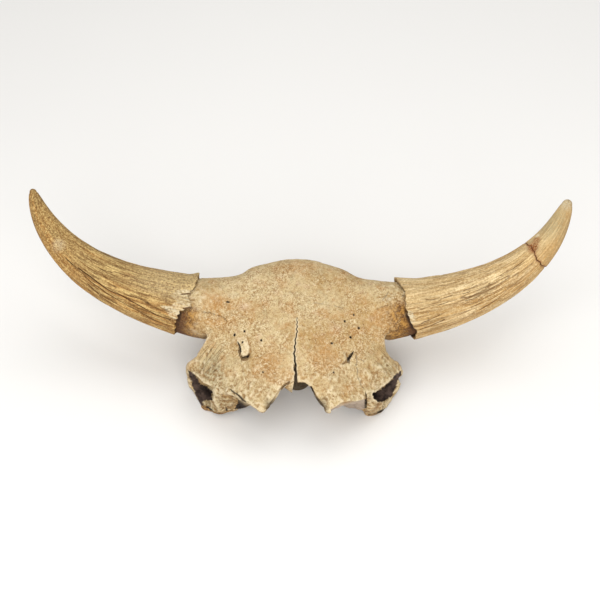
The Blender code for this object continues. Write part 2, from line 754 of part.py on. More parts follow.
def part_bones(bone):
    """Cuts the fused bone into the bones that a person would name, with a hairline between them."""
    half = FIT_GAP / 2
    far = 0.4
    core_boxes = {}
    wide_boxes = []
    for name, horn in HORNS.items():
        side = horn["side"]
        for room, store in ((half, None), (-half, wide_boxes)):
            low_x, high_x = sorted((side * (CORE_PLANE + room), side * far))
            low = (low_x, CORE_FRONT + room, CORE_BOTTOM + room)
            made = box("core_box", low, (high_x, far, far), cutters)
            if store is None:
                core_boxes[name] = made
            else:
                store.append(made)
    for name, made in core_boxes.items():
        largest_body(part_off(bone, "horn_core_" + name, [made]))
    body = part_off(bone, "body", wide_boxes, "DIFFERENCE")
    over = roof_block("over_plate", PLATE - half, 0.3, cutters)
    under = roof_block("under_plate", PLATE + half, -0.6, cutters)
    top = part_off(body, "top", [over])
    low = part_off(body, "low", [under])
    for name, horn in HORNS.items():
        side = horn["side"]
        crack = [(x + side * wide, y) for y, x, wide in MIDLINE]
        outline = crack + [(side * 400, crack[-1][1]), (side * 400, crack[0][1])]
        block = prism("frontal_block", outline, -0.4, 0.4, cutters)
        largest_body(part_off(top, "frontal_" + name, [block]))
        low_x, high_x = sorted((side * (ORBIT_INNER + half), side * far))
        block = box("orbit_block", (low_x, -far, -far), (high_x, ORBIT_PLANE - half, far), cutters)
        largest_body(part_off(low, "orbit_" + name, [block]))
    nape = box("nape_block", (-far, OCCIPUT_PLANE + half, -far), (far, far, far), cutters)
    largest_body(part_off(low, "occipital", [nape]))
    inner = (ORBIT_INNER - half) * 1000
    front = (ORBIT_PLANE + half) * 1000
    back = (OCCIPUT_PLANE - half) * 1000
    outline = [
        (-400, back), (-400, front), (-inner, front), (-inner, -400),
        (inner, -400), (inner, front), (400, front), (400, back),
    ]
    block = prism("brain_block", outline, -0.4, 0.4, cutters)
    largest_body(part_off(low, "braincase", [block]))
    for spare in (bone, body, top, low):
        bpy.data.objects.remove(spare)


MATERIALS = {
    "bone": ((0.56, 0.45, 0.28), 0.85),
    "bone_dark": ((0.40, 0.29, 0.17), 0.85),
    "horn_brown": ((0.42, 0.29, 0.14), 0.62),
    "horn_tan": ((0.55, 0.43, 0.25), 0.66),
}
SLOTS = {
    "frontal_left": "bone", "frontal_right": "bone", "braincase": "bone_dark", "occipital": "bone",
    "orbit_left": "bone", "orbit_right": "bone",
    "horn_core_left": "bone_dark", "horn_core_right": "bone_dark",
    "horn_sheath_left": "horn_brown", "horn_sheath_right": "horn_tan", "horn_tip_right": "horn_tan",
}

clear_scene()
skull = collection("half_bison_skull")
cutters = collection("cutters")
cutters.hide_render = True
part_bones(make_bone(skull))
for name in HORNS:
    make_sheath(name, skull)
make_tip(skull)

floor = box("floor", (-1, -1, -1), (1, 1, 0), cutters)
made = {name: material(name, *look) for name, look in MATERIALS.items()}
pieces = list(skull.objects)
for piece in pieces:
    piece.data.transform(Matrix.Translation((0, 0, REST_HEIGHT)) @ Matrix.Rotation(TILT, 4, "X"))
corners = [vert.co for piece in pieces for vert in piece.data.vertices]
middle = [(min(c[i] for c in corners) + max(c[i] for c in corners)) / 2 for i in (0, 1)]
for piece in pieces:
    piece.data.transform(Matrix.Translation((-middle[0], -middle[1], 0)))
    if min(vert.co.z for vert in piece.data.vertices) < 0:
        boolean(piece, floor, "DIFFERENCE")
        largest_body(piece)
    piece.data.materials.clear()
    piece.data.materials.append(made[SLOTS[piece.name]])
    piece.data.shade_smooth()
for cutter in cutters.objects:
    cutter.hide_render = True
    cutter.display_type = "WIRE"
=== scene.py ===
import math

import bpy
import numpy as np
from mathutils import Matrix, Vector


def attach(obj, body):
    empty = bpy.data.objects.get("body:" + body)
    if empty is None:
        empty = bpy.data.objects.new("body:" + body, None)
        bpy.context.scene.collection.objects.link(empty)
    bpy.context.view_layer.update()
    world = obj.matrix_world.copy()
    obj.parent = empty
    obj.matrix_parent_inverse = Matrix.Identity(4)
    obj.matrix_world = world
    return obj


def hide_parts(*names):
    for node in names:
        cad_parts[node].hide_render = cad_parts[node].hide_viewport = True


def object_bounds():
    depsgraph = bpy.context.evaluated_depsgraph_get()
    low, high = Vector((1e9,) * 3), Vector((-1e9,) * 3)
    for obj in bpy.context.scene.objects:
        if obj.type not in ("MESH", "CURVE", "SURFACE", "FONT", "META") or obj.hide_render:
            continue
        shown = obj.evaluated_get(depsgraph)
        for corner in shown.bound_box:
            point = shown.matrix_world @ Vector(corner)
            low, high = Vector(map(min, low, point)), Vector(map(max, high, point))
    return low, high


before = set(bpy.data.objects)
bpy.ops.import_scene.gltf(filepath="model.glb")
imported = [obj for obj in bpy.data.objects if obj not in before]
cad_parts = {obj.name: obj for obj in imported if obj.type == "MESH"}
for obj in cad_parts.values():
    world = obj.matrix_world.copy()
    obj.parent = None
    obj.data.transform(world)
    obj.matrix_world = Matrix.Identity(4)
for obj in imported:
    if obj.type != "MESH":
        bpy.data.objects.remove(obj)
cad_low, cad_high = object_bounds()


# The bone: both frontal bones with the domed back of the head, the eye sockets and the two
# horn cores, which grow together into one piece. It is dry, porous bone, weathered and
# pitted all over, cracked along its middle seam and broken off below the forehead.

# The skull's own frame starts in the middle of the brow and is tipped back. SKULL_SHIFT is added to a
# place in the row frame before it is turned.
SKULL_TILT = math.radians(12)
SKULL_SHIFT = (0.0054315, -0.0144029, -0.1432)
BONE_NODES = (
    "frontal_left", "frontal_right", "braincase", "occipital",
    "orbit_left", "orbit_right", "horn_core_left", "horn_core_right",
)
BONE_OVERLAP = 0.0004
WELD_WITHIN = 0.00001
FINE_CELL = 0.00125
BONE_CELL = FINE_CELL
BONE_TRIANGLES = 178000
BONE_CREASE = math.radians(36)
WEIGHT_STEPS = 20
DOUBLES_WITHIN = 0.000002

# Each crack: points across and along the forehead in millimetres, and its half width there.
MIDLINE_CRACK = (
    (1, -38, 0.1), (0.2, -42, 0.16), (1.6, -45, 0.2), (0.1, -48, 0.2), (1.4, -51, 0.28), (-0.3, -55, 0.28),
    (1.4, -58, 0.4), (0, -61, 0.4), (-0.4, -66, 0.46), (-2, -70, 0.52), (-1, -74, 0.58), (-2.6, -79, 0.64),
    (-1.6, -83, 0.68), (-3.4, -88, 0.75), (-2, -93, 0.8), (-2.3, -98, 0.92), (-0.8, -103, 1.05),
    (-1.4, -108, 1.2), (-0.4, -114, 1.35), (-0.8, -124, 1.6),
)
BROW_CRACK = (
    (-126, -26.6, 0.1), (-120, -28.2, 0.3), (-116, -27.2, 0.35), (-109, -29.4, 0.28), (-102, -30.1, 0.3),
    (-97, -33, 0.2), (-94, -37, 0.1),
)
FLAKE_CREVICE = (
    (-79, -66, 0.2), (-77.1, -69.3, 0.6), (-75.6, -73, 0.8), (-74.6, -77, 0.7), (-74, -81, 0.3),
)
LEFT_GROOVE = (
    (-73, -89, 0.2), (-74.4, -95, 0.3), (-71.4, -102, 0.25), (-70, -109, 0.3), (-66, -117, 0.25),
    (-66.4, -126, 0.3), (-63.5, -134, 0.2),
)
RIGHT_SLIT = (
    (76.4, -78.5, 0.2), (74.4, -81.5, 0.6), (71, -84.4, 0.9), (69, -88.5, 1.3), (67.6, -91.6, 0.5),
)
RIGHT_CRACK = (
    (80.4, -80, 0.1), (79.6, -86, 0.26), (80.8, -92, 0.24), (79.4, -98, 0.3), (81.4, -104, 0.26),
    (80.6, -110.4, 0.3), (83, -116, 0.26), (84.5, -119.8, 0.3), (88, -124, 0.35), (90.6, -127, 0.2),
)
RIGHT_BRANCH = ((80.4, -85, 0.1), (83.5, -87.6, 0.25), (87, -87.8, 0.22), (91, -89.8, 0.1))
SOCKET_CREVICE = (
    (-88, -126, 0.2), (-85, -129.4, 0.5), (-80, -133, 0.5), (-75, -138, 0.9), (-70, -143, 1.1),
    (-66, -146, 0.4),
)
LEFT_WRINKLE = ((22, -16, 0.1), (27, -15.4, 0.3), (31, -16.6, 0.3), (36, -17, 0.1))
RIGHT_WRINKLE = ((50, -18, 0.1), (54, -19.4, 0.25), (59, -20.4, 0.25), (63, -22, 0.1))
# Short streaks over the left eye and beside the right horn.
SHORT_STREAKS = (
    ((-124, -96.8, 0.1), (-119.3, -93.4, 0.35), (-112.4, -90.4, 0.3), (-101.4, -85.7, 0.1)),
    ((-112.2, -97.8, 0.1), (-106.7, -95.2, 0.4), (-103.3, -92.7, 0.1)),
    ((-121, -75.3, 0.1), (-116.8, -70, 0.3), (-111.3, -65.1, 0.1)),
    ((115.5, -10.6, 0.1), (121, -4.9, 0.3), (125.4, 3.6, 0.1)),
    ((108.6, -22, 0.1), (116.7, -19.5, 0.3), (123.4, -18, 0.1)),
)
# How deep each crack is, in millimetres, and how much soil and painted shade darken it.
CRACKS = (
    (MIDLINE_CRACK, 16.0, 1.0),
    (BROW_CRACK, 1.2, 0.6),
    (FLAKE_CREVICE, 3.6, 1.0),
    (LEFT_GROOVE, 0.6, 0.25),
    (RIGHT_SLIT, 4.5, 1.0),
    (RIGHT_CRACK, 1.2, 0.55),
    (RIGHT_BRANCH, 0.8, 0.4),
    (SOCKET_CREVICE, 3.0, 0.9),
    (LEFT_WRINKLE, 0.6, 0.4),
    (RIGHT_WRINKLE, 0.6, 0.35),
    *((line, 0.8, 0.5) for line in SHORT_STREAKS),
)
# How far a crack's cutter stands over the bone, and its widths there and at its foot, in half widths.
CUTTER_ABOVE = 0.006
CUTTER_WIDE, CUTTER_NARROW = 1.35, 0.30

# Each vein hole: its place across and along the forehead, and its two half widths, in millimetres.
VEIN_HOLES = (
    (-83.1, -56.5, 1.5, 1.7), (-69.5, -53.3, 1.4, 1.3), (-72.1, -67.5, 1.3, 1.2), (-47, -67.9, 1.4, 1.5),
    (-44.2, -110.8, 1, 1), (-92.7, -12.3, 2.6, 1.1), (77.2, -30, 1.2, 1.1), (64.9, -39.8, 1.2, 1.5),
    (83.8, -47.2, 1.3, 1.5), (72.4, -60.8, 1.5, 1.6), (47.1, -71.9, 1.4, 1.1), (49.2, -110.7, 0.9, 1),
)
VEIN_HOLE_DEPTH = 4.5
# The unevenness of the bone, in layers: its height, what is added where the bone is broken or bare,
# its size and its seed.
BONE_LAYERS = ((0.0010, 0, 0.045, 3), (0.0005, 0.0006, 0.013, 7), (0.0003, 0.0005, 0.0046, 11))
# The two swells at the back of the brow: how far across they are, their half width and their height.
BACK_SWELLS = ((-0.060, 0.016, 0.0040), (0.066, 0.014, 0.0026))

# Where the viewer stands, how far down they look, how far ahead of them the outlines below are
# measured, and between which distances the near side of the bone ends.
VIEWER = np.array([-0.000695, -1.130663, 1.399755])
VIEW_TILT = math.radians(42)
VIEW_REACH = 1.7
NEAR_SIDE = (1.9, 1.8)
SIDEWAYS = np.array([1, 0, 0])
UPWARDS = np.array([0, math.cos(VIEW_TILT), math.sin(VIEW_TILT)])
AHEAD = np.array([0, math.sin(VIEW_TILT), -math.cos(VIEW_TILT)])

# The broken openings into the two eye sockets, as the viewer sees them, and the small teeth that
# are added along them, in millimetres.
SOCKET_CORNERS = (
    (
        (-152, -93.6), (-145.3, -98.2), (-138.2, -106.1), (-137.5, -108.9), (-133.2, -114.6),
        (-127.5, -115.4), (-125, -116.8), (-124.6, -119.2), (-119.6, -122.5), (-119, -126.1),
        (-120.3, -129), (-118, -134.9), (-119.6, -136), (-130.3, -136), (-131.8, -138.8), (-129, -144.5),
        (-135.3, -141.7), (-141, -127.5), (-145.3, -117.5), (-149, -104.7), (-151.4, -96),
    ),
    (
        (136.7, -95.4), (128.2, -101.9), (125.2, -106.4), (118.3, -113.3), (108.3, -121.8), (98.2, -126.1),
        (97.6, -129), (101.1, -134.7), (106.8, -138.2), (111.1, -138.2), (115.4, -136), (116.8, -134.7),
        (124, -130.3), (128.6, -120.3), (131.6, -109.6), (136.8, -100.4),
    ),
)
TOOTH_WIDTH, TOOTH_DEPTH = 2.2, 0.8


def toothed(outline):
    """An outline with small teeth along its sides. Its own corners stay where they are."""
    spots = []
    for index, (x, y) in enumerate(outline):
        next_x, next_y = outline[(index + 1) % len(outline)]
        length = math.hypot(next_x - x, next_y - y)
        steps = max(1, round(length / TOOTH_WIDTH))
        for step in range(steps):
            out = TOOTH_DEPTH * math.sin(2.4 * (step + 5 * index)) * (step > 0)
            along = step / steps
            spots.append((
                x + along * (next_x - x) + out * (next_y - y) / length,
                y + along * (next_y - y) - out * (next_x - x) / length,
            ))
    return spots


SOCKETS = [toothed(outline) for outline in SOCKET_CORNERS]
# How far ahead the cut into a socket starts and ends, where it ends at the outer corner, and between
# which distances from that corner it deepens, in millimetres.
SOCKET_FROM, SOCKET_TO = 1.630, 1.722
SOCKET_CORNER = 1.668
SOCKET_SLOPE = (4, 30)
# Pits with sharp edges: a depth, and an outline as the viewer sees it, in millimetres. Their floors are
# painted dark: painted shade, with soil. The last one holds the painted shadow under the flap at the left
# horn's rim.
PITS = (
    (3.2, (
        (-82.8, -64), (-80.6, -68), (-79.9, -74.6), (-77.3, -76.8), (-72.4, -76), (-68, -72.4),
        (-67, -72.6), (-68.2, -77.5), (-71, -81.6), (-75.1, -82.8), (-79.3, -82), (-82, -75.8), (-84, -69),
    )),
    (3.6, (
        (72.3, -71.2), (71.2, -73.9), (67.7, -79.3), (67.4, -86.1), (63.1, -85.5), (58.5, -87.4),
        (55.5, -86.9), (60.1, -83.4), (63.1, -79), (66.9, -74.7),
    )),
    (9, ((88.6, -123.2), (90.9, -129.9), (91.2, -138), (90.1, -145.6), (87.4, -146.2), (87.2, -132.6))),
    (1.6, (
        (-126.5, -142.6), (-120.4, -146.7), (-112.3, -150.8), (-101.5, -151.8), (-101.5, -153.5),
        (-113, -153.2), (-121.8, -149.1), (-127.2, -144.7),
    )),
    (1.8, ((92, -152.1), (102.9, -150.5), (115.7, -146.7), (116.4, -149.1), (104.2, -154), (92.4, -155.4))),
    (2.4, (
        (-14.1, -109.6), (-22.1, -113.7), (-26.8, -118.8), (-33.8, -129.4), (-40.6, -138.6), (-47, -146.7),
        (-44.8, -148.6), (-38.2, -141.3), (-31.4, -131.8), (-24.9, -121.3), (-20.6, -116.7),
        (-13.5, -112.3),
    )),
    (2.2, (
        (12.7, -117.2), (15.7, -116.4), (22.5, -128.8), (30.6, -140.2), (36, -148.3), (33.3, -150.5),
        (27.1, -142.9), (19.2, -131.5),
    )),
    (1.6, (
        (-102.6, -137.4), (-101, -137.2), (-99.6, -144.8), (-97.7, -150.2), (-99.3, -151), (-101.5, -145.3),
    )),
    (1.6, (
        (-163.2, -18.9), (-162.7, -12.7), (-157, -11.4), (-151.6, -9.3), (-147.8, -7.3), (-145.3, -10),
        (-151.6, -14.3), (-157, -16.2),
    )),
)
PIT_ABOVE = 0.012
# The thin plate that has lifted beside the left pit, as the viewer sees it.
FLAKE = (
    (-85.3, -51.4), (-79.8, -50.1), (-73.1, -51.4), (-70.5, -55), (-70, -60), (-67.7, -63.5),
    (-68.3, -71.7), (-72.4, -75.4), (-77.1, -76.3), (-79.4, -74.4), (-80.1, -67.7), (-81.9, -62.3),
    (-85.3, -58.2),
)
FLAKE_LIFT, FLAKE_STEP = 0.0026, 0.0003
# A plate under the right eye that lies deeper than the forehead's edge, painted grey as a shaded plate, the
# wall behind the gap beside the left prong, painted dark as shade, and the crumbled underside of the left
# eye's front corner.
SHADED_STRIP = (
    (42, -148.1), (51.4, -142.6), (56.8, -138.6), (66.3, -136.7), (77.1, -137.2), (87, -134),
    (88.2, -136.7), (87.7, -147.5), (67.7, -152.9), (42, -155.6),
)
SHADED_STRIP_DEPTH = 2.6
INNER_WALL = (
    (-89.3, -127.8), (-83.6, -129.4), (-80.9, -132.9), (-75.8, -135.1), (-67, -138.7), (-67, -142.1),
    (-73.1, -145.5), (-81.2, -147.2), (-87.4, -147.8), (-86.9, -143.4), (-84.4, -139.4), (-83.4, -135.3),
    (-85.8, -131.3),
)
INNER_WALL_FROM, INNER_WALL_TO = 0.012, 0.035
CRUMBLED = (
    (-144.8, -134), (-136.7, -136), (-131.3, -141), (-121.8, -147.9), (-112.3, -152.7), (-102.9, -153.7),
    (-102.9, -162.4), (-140.7, -162.4), (-148.9, -140.7),
)
# The splinter beside the lower end of the middle crack, as the viewer sees it.
SPLINTER = ((-22.3, -117.7), (-18.3, -112.9), (-8.3, -109.1), (-8.3, -111.8), (-11, -125.7))
SPLINTER_FROM, SPLINTER_TO = 1.6590, 1.6635


def smooth(low, high, value):
    """0 before `low`, 1 after `high`, and an easy slope between them."""
    share = np.clip((value - low) / (high - low), 0, 1)
    return share * share * (3 - 2 * share)


def seen_from_skull(points):
    """Points of the row frame as the skull has them: x right, y to the nape, z out of the forehead."""
    x, y, z = (points + SKULL_SHIFT).T
    along = y * math.cos(SKULL_TILT) + z * math.sin(SKULL_TILT)
    out = z * math.cos(SKULL_TILT) - y * math.sin(SKULL_TILT)
    return np.stack([x, along, out], axis=1)


def placed_from_skull(points):
    """The skull's own points, back in the row frame."""
    x, along, out = points.T
    y = along * math.cos(SKULL_TILT) - out * math.sin(SKULL_TILT)
    z = along * math.sin(SKULL_TILT) + out * math.cos(SKULL_TILT)
    return np.stack([x, y, z], axis=1) - SKULL_SHIFT


def lumps(points, size, seed):
    """Smooth chance values from -1 to 1 that rise and fall over about `size`.

    Large primes and shifts turn a cell's corner and the seed into a value that looks like chance.
    """
    cell = points / size
    low = np.floor(cell).astype(np.int64)
    part = cell - low
    part = part * part * (3 - 2 * part)
    total = np.zeros(len(points))
    for corner in np.ndindex(2, 2, 2):
        x, y, z = (low + corner).T
        mixed = (x * 73856093) ^ (y * 19349663) ^ (z * 83492791) ^ (seed * 43112609)
        mixed = (mixed ^ (mixed >> 13)) * 1274126177
        value = ((mixed ^ (mixed >> 16)) & 0xFFFF) / 32767.5 - 1
        total += value * np.where(corner, part, 1 - part).prod(axis=1)
    return total


def rough(points, size, seed, layers=3):
    """Chance values in layers, each half the size and half the strength of the one before."""
    total = sum(lumps(points, size / 2**layer, seed + layer) / 2**layer for layer in range(layers))
    return total / (2 - 0.5 ** (layers - 1))


def of_each_point(layer, name):
    """Three numbers for each point of a mesh."""
    values = np.empty(len(layer) * 3, np.float32)
    layer.foreach_get(name, values)
    return values.reshape(-1, 3).astype(float)


def points_of(piece):
    return of_each_point(piece.data.vertices, "co")


def normals_of(piece):
    return of_each_point(piece.data.vertex_normals, "vector")


def move_points(piece, points):
    piece.data.vertices.foreach_set("co", points.astype(np.float32).ravel())
    piece.data.update()


def store(piece, name, values):
    """Keeps one number or one direction for each point, which a material reads by name."""
    values = np.asarray(values, np.float32)
    kind, key = ("FLOAT", "value") if values.ndim == 1 else ("FLOAT_VECTOR", "vector")
    piece.data.attributes.new(name, kind, "POINT").data.foreach_set(key, values.ravel())


def weigh(piece, name, weights):
    """A vertex group with these weights, in even steps."""
    group = piece.vertex_groups.new(name=name)
    steps = np.round(np.clip(weights, 0, 1) * WEIGHT_STEPS).astype(int)
    for step in range(1, WEIGHT_STEPS + 1):
        group.add(np.nonzero(steps == step)[0].tolist(), step / WEIGHT_STEPS, "REPLACE")
    return name


def alone(piece):
    """Makes this piece the only one selected, and the active one."""
    bpy.ops.object.select_all(action="DESELECT")
    piece.select_set(True)
    bpy.context.view_layer.objects.active = piece


def finish_modifier(piece, kind, **settings):
    """Adds a modifier with these settings and applies it."""
    alone(piece)
    modifier = piece.modifiers.new(kind.lower(), kind)
    for name, value in settings.items():
        setattr(modifier, name, value)
    bpy.ops.object.modifier_apply(modifier=modifier.name)


def rolled(name, rows, columns, place):
    """A flat grid laid over `place`, which takes shares of the way along and turns round it.

    It gives back points, and named numbers or directions for each point that the materials read.
    The grid's long edges meet, its ends come to a point, and its doubles are merged, so it is closed.
    """
    bpy.ops.object.select_all(action="DESELECT")
    bpy.ops.mesh.primitive_grid_add(x_subdivisions=rows, y_subdivisions=columns, size=2)
    piece = bpy.context.object
    piece.name = name
    piece.data.name = name
    flat = points_of(piece)
    points, marks = place((flat[:, 0] + 1) / 2, (flat[:, 1] + 1) * math.pi)
    move_points(piece, points)
    for mark, values in marks.items():
        store(piece, mark, values)
    bpy.ops.object.mode_set(mode="EDIT")
    bpy.ops.mesh.select_all(action="SELECT")
    bpy.ops.mesh.remove_doubles(threshold=DOUBLES_WITHIN)
    bpy.ops.mesh.normals_make_consistent(inside=False)
    bpy.ops.object.mode_set(mode="OBJECT")
    return piece


def away_from_line(across, along, line):
    """How far each flat place is from a line of points, and how wide the line is where it is nearest."""
    spots = np.array(line, float) / 1000
    far = np.full(len(across), 1.0)
    width = np.zeros(len(across))
    here = np.stack([across, along], axis=1)
    for first, last in zip(spots[:-1], spots[1:]):
        step = last[:2] - first[:2]
        share = np.clip(((here - first[:2]) @ step) / (step @ step), 0, 1)
        gap = np.linalg.norm(here - first[:2] - share[:, None] * step, axis=1)
        width = np.where(gap < far, first[2] + share * (last[2] - first[2]), width)
        far = np.minimum(far, gap)
    return far, width


def inside_outline(across, up, outline):
    """Which points lie inside an outline, seen flat."""
    spots = np.array(outline, float)[:, :2] / 1000
    inside = np.zeros(len(across), bool)
    for (x, y), (next_x, next_y) in zip(spots, np.roll(spots, -1, axis=0)):
        if y == next_y:
            continue
        crossing = x + (up - y) / (next_y - y) * (next_x - x)
        inside ^= ((up > y) != (up > next_y)) & (across < crossing)
    return inside


def as_seen(points):
    """Where the viewer sees each point, and how far ahead of them it is."""
    apart = points - VIEWER
    away = apart @ AHEAD
    return apart @ SIDEWAYS / away * VIEW_REACH, apart @ UPWARDS / away * VIEW_REACH, away


def in_view(outline, away):
    """The places of an outline as the viewer sees it, at these distances ahead."""
    across, up = np.array(outline, float)[:, :2].T / 1000 / VIEW_REACH
    rays = AHEAD + np.outer(across, SIDEWAYS) + np.outer(up, UPWARDS)
    return VIEWER + rays * np.broadcast_to(away, len(rays))[:, None]


def fused_bone():
    """Copies of the bone's solids, grown into one skin of small even faces."""
    bpy.ops.object.select_all(action="DESELECT")
    for name in BONE_NODES:
        copy = bpy.data.objects.new("bone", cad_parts[name].data.copy())
        copy.data.materials.clear()
        bpy.context.collection.objects.link(copy)
        copy.select_set(True)
    bpy.context.view_layer.objects.active = copy
    bpy.ops.object.join()
    bone = bpy.context.object
    bone.name = "skull_cap"
    bone.data.name = "skull_cap"
    finish_modifier(bone, "WELD", merge_threshold=WELD_WITHIN)
    finish_modifier(bone, "DISPLACE", strength=BONE_OVERLAP, mid_level=0)
    finish_modifier(bone, "REMESH", mode="VOXEL", voxel_size=BONE_CELL)
    return bone


def broken_front(x, y, z):
    """1 on the thin broken plates round the sockets, the prongs and the open nose, and 0 elsewhere."""
    front = smooth(-0.088, -0.112, y) * smooth(0.030, 0.048, np.abs(x))
    low = smooth(-0.026, -0.040, z) * smooth(-0.060, -0.085, y)
    middle = smooth(-0.100, -0.122, y)
    return np.maximum(np.maximum(front, low), middle)


def eased(piece, values, rounds):
    """These values, one row for each point, averaged with their neighbours' a number of times."""
    ends = np.empty(len(piece.data.edges) * 2, np.int32)
    piece.data.edges.foreach_get("vertices", ends)
    first, last = ends[::2], ends[1::2]
    count = len(values)
    near = 1 + np.bincount(first, minlength=count) + np.bincount(last, minlength=count)
    values = values.copy()
    for _ in range(rounds):
        for axis in range(values.shape[1]):
            old = values[:, axis]
            total = np.bincount(first, old[last], count) + np.bincount(last, old[first], count)
            values[:, axis] = (old + total) / near
    return values


def even_out(bone):
    """Takes the flat facets off the broad curves and keeps the broken edges sharp."""
    cells = FINE_CELL / BONE_CELL
    finish_modifier(bone, "SMOOTH", factor=0.5, iterations=int(8 * cells) + 1)
    # Averaged normals stay long where the bone is broad, and shrink where it turns in a few millimetres.
    spread = np.linalg.norm(eased(bone, normals_of(bone), int(14 * cells * cells) + 2), axis=1)
    group = weigh(bone, "broad", smooth(0.80, 0.93, spread))
    finish_modifier(bone, "SMOOTH", factor=0.5, iterations=int(70 * cells * cells) + 2, vertex_group=group)
    bone.vertex_groups.clear()


def weather(bone):
    """Gives the bone its unevenness: low swells, grain, pits and ragged edges."""
    points = seen_from_skull(points_of(bone))
    x, y, z = points.T
    broken = broken_front(x, y, z)
    core = smooth(0.112, 0.130, np.abs(x)) * smooth(-0.085, -0.065, y)
    harsh = np.maximum(broken, core)
    rise = sum((low + more * harsh) * rough(points, size, seed, 2) for low, more, size, seed in BONE_LAYERS)
    rise -= (0.0004 + 0.0010 * harsh) * smooth(0.36, 0.70, rough(points, 0.0058, 23, 2))
    for middle, half, height in BACK_SWELLS:
        rise += height * smooth(0.008, 0.032, y) * np.exp(-(((x - middle) / half) ** 2))
    shift = np.stack([rough(points, 0.0085, seed, 3) for seed in (31, 41, 53)], axis=1)
    moved = points_of(bone) + normals_of(bone) * rise[:, None]
    move_points(bone, moved + 0.0012 * broken[:, None] * shift)


def lift_flake(bone):
    """Raises the thin plate beside the left pit, most at its free lower end."""
    points = points_of(bone)
    across, up, away = as_seen(points)
    within = inside_outline(across, up, FLAKE) * smooth(*NEAR_SIDE, away)
    rise = FLAKE_LIFT * smooth(-0.050, -0.072, up) + FLAKE_STEP
    move_points(bone, points + normals_of(bone) * (within * rise)[:, None])


def thin_out(bone):
    """Keeps small faces where the bone is seen from above and at its broken edges, and few elsewhere."""
    x, y, z = seen_from_skull(points_of(bone)).T
    shown = np.maximum(smooth(-0.35, 0.15, normals_of(bone)[:, 2]), 0.8 * broken_front(x, y, z))
    shown = shown * (1 - smooth(0.152, 0.172, np.abs(x)))
    group = weigh(bone, "plain", 1 - 0.9 * shown)
    faces = sum(len(face.vertices) - 2 for face in bone.data.polygons)
    share = min(1, BONE_TRIANGLES / faces)
    finish_modifier(bone, "DECIMATE", ratio=share, vertex_group=group, vertex_group_factor=1.6)
    bone.vertex_groups.clear()


def forehead_height(bone, across, along):
    """How high the bone stands over each spot of the forehead."""
    here = seen_from_skull(points_of(bone))
    top = here[here[:, 2] > -0.060]
    heights = []
    for spot in zip(across, along):
        near = np.hypot(top[:, 0] - spot[0], top[:, 1] - spot[1]) < 0.0030
        heights.append(top[near, 2].max() if near.any() else -0.040)
    return np.array(heights)


def crack_blade(bone, line, depth):
    """A thin wedge along a crack's line, wide above the bone and narrow below it."""
    spots = np.array(line, float) / 1000
    height = forehead_height(bone, spots[:, 0], spots[:, 1])
    across, along = np.gradient(spots[:, 0]), np.gradient(spots[:, 1])
    length = np.hypot(across, along)
    ends = np.arange(len(spots))
    steps, corners = len(spots) * 4, 4

    def place(share, turn):
        at = share * (len(spots) - 1)
        x, y, half = (np.interp(at, ends, spots[:, axis]) for axis in range(3))
        corner = np.round(turn / (2 * math.pi) * corners).astype(int) % corners
        top, right = (corner == 0) | (corner == 3), corner < 2
        opened = np.clip(np.minimum(share, 1 - share) * steps / 2, 0, 1)
        half = half * (1 + 0.35 * lumps(np.outer(share, (900, 0, 0)), 8.0, 5)) * opened
        wide = np.where(top, CUTTER_WIDE, CUTTER_NARROW) * np.where(right, 1, -1) * half
        x = x + wide * np.interp(at, ends, along / length)
        y = y - wide * np.interp(at, ends, across / length)
        level = np.interp(at, ends, height) + np.where(top, CUTTER_ABOVE, -depth / 1000) * opened
        return placed_from_skull(np.stack([x, y, level], axis=1)), {}

    return rolled("crack", steps, corners, place)


def vein_drill(bone, hole):
    """A tapering drill of ten sides for one vein hole."""
    x, y, wide, long = np.array(hole) / 1000
    level = forehead_height(bone, [x], [y])[0]
    rings = (0, 0.15, 0.5, 0.85, 1)
    heights = (3, 2.4, 0, -VEIN_HOLE_DEPTH, -VEIN_HOLE_DEPTH)

    def place(share, turn):
        reach = np.interp(share, rings, (0, 1.7, 1, 0.7, 0)) * (1 + 0.18 * np.sin(3 * turn + x * 900))
        down = np.interp(share, rings, heights) / 1000
        across = x + reach * wide * np.cos(turn)
        along = y + reach * long * np.sin(turn)
        return placed_from_skull(np.stack([across, along, level + down], axis=1)), {}

    return rolled("vein_hole", 12, 10, place)


def block(near, far):
    """A closed block with the same outline at its near end and at its far end."""
    count = len(near)
    bpy.ops.object.select_all(action="DESELECT")
    bpy.ops.mesh.primitive_circle_add(vertices=count, fill_type="NGON")
    piece = bpy.context.object
    bpy.ops.object.mode_set(mode="EDIT")
    bpy.ops.mesh.select_all(action="SELECT")
    bpy.ops.mesh.extrude_region_move()
    bpy.ops.object.mode_set(mode="OBJECT")
    move_points(piece, np.concatenate([near, far]))
    bpy.ops.object.mode_set(mode="EDIT")
    bpy.ops.mesh.select_all(action="SELECT")
    bpy.ops.mesh.quads_convert_to_tris()
    bpy.ops.mesh.normals_make_consistent(inside=False)
    bpy.ops.object.mode_set(mode="OBJECT")
    return piece


def surface_at(bone, outline):
    """How far ahead of the viewer the bone's surface is at each corner of an outline."""
    across, up, away = as_seen(points_of(bone))
    found = []
    for x, y in np.array(outline, float)[:, :2] / 1000:
        near = np.hypot(across - x, up - y) < 0.0022
        found.append(np.percentile(away[near], 10) if near.any() else np.nan)
    found = np.array(found)
    return np.where(np.isnan(found), np.nanmean(found), found)


def merge(bone, other, operation):
    finish_modifier(bone, "BOOLEAN", object=other, operation=operation, solver="MANIFOLD")
    bpy.data.objects.remove(other)


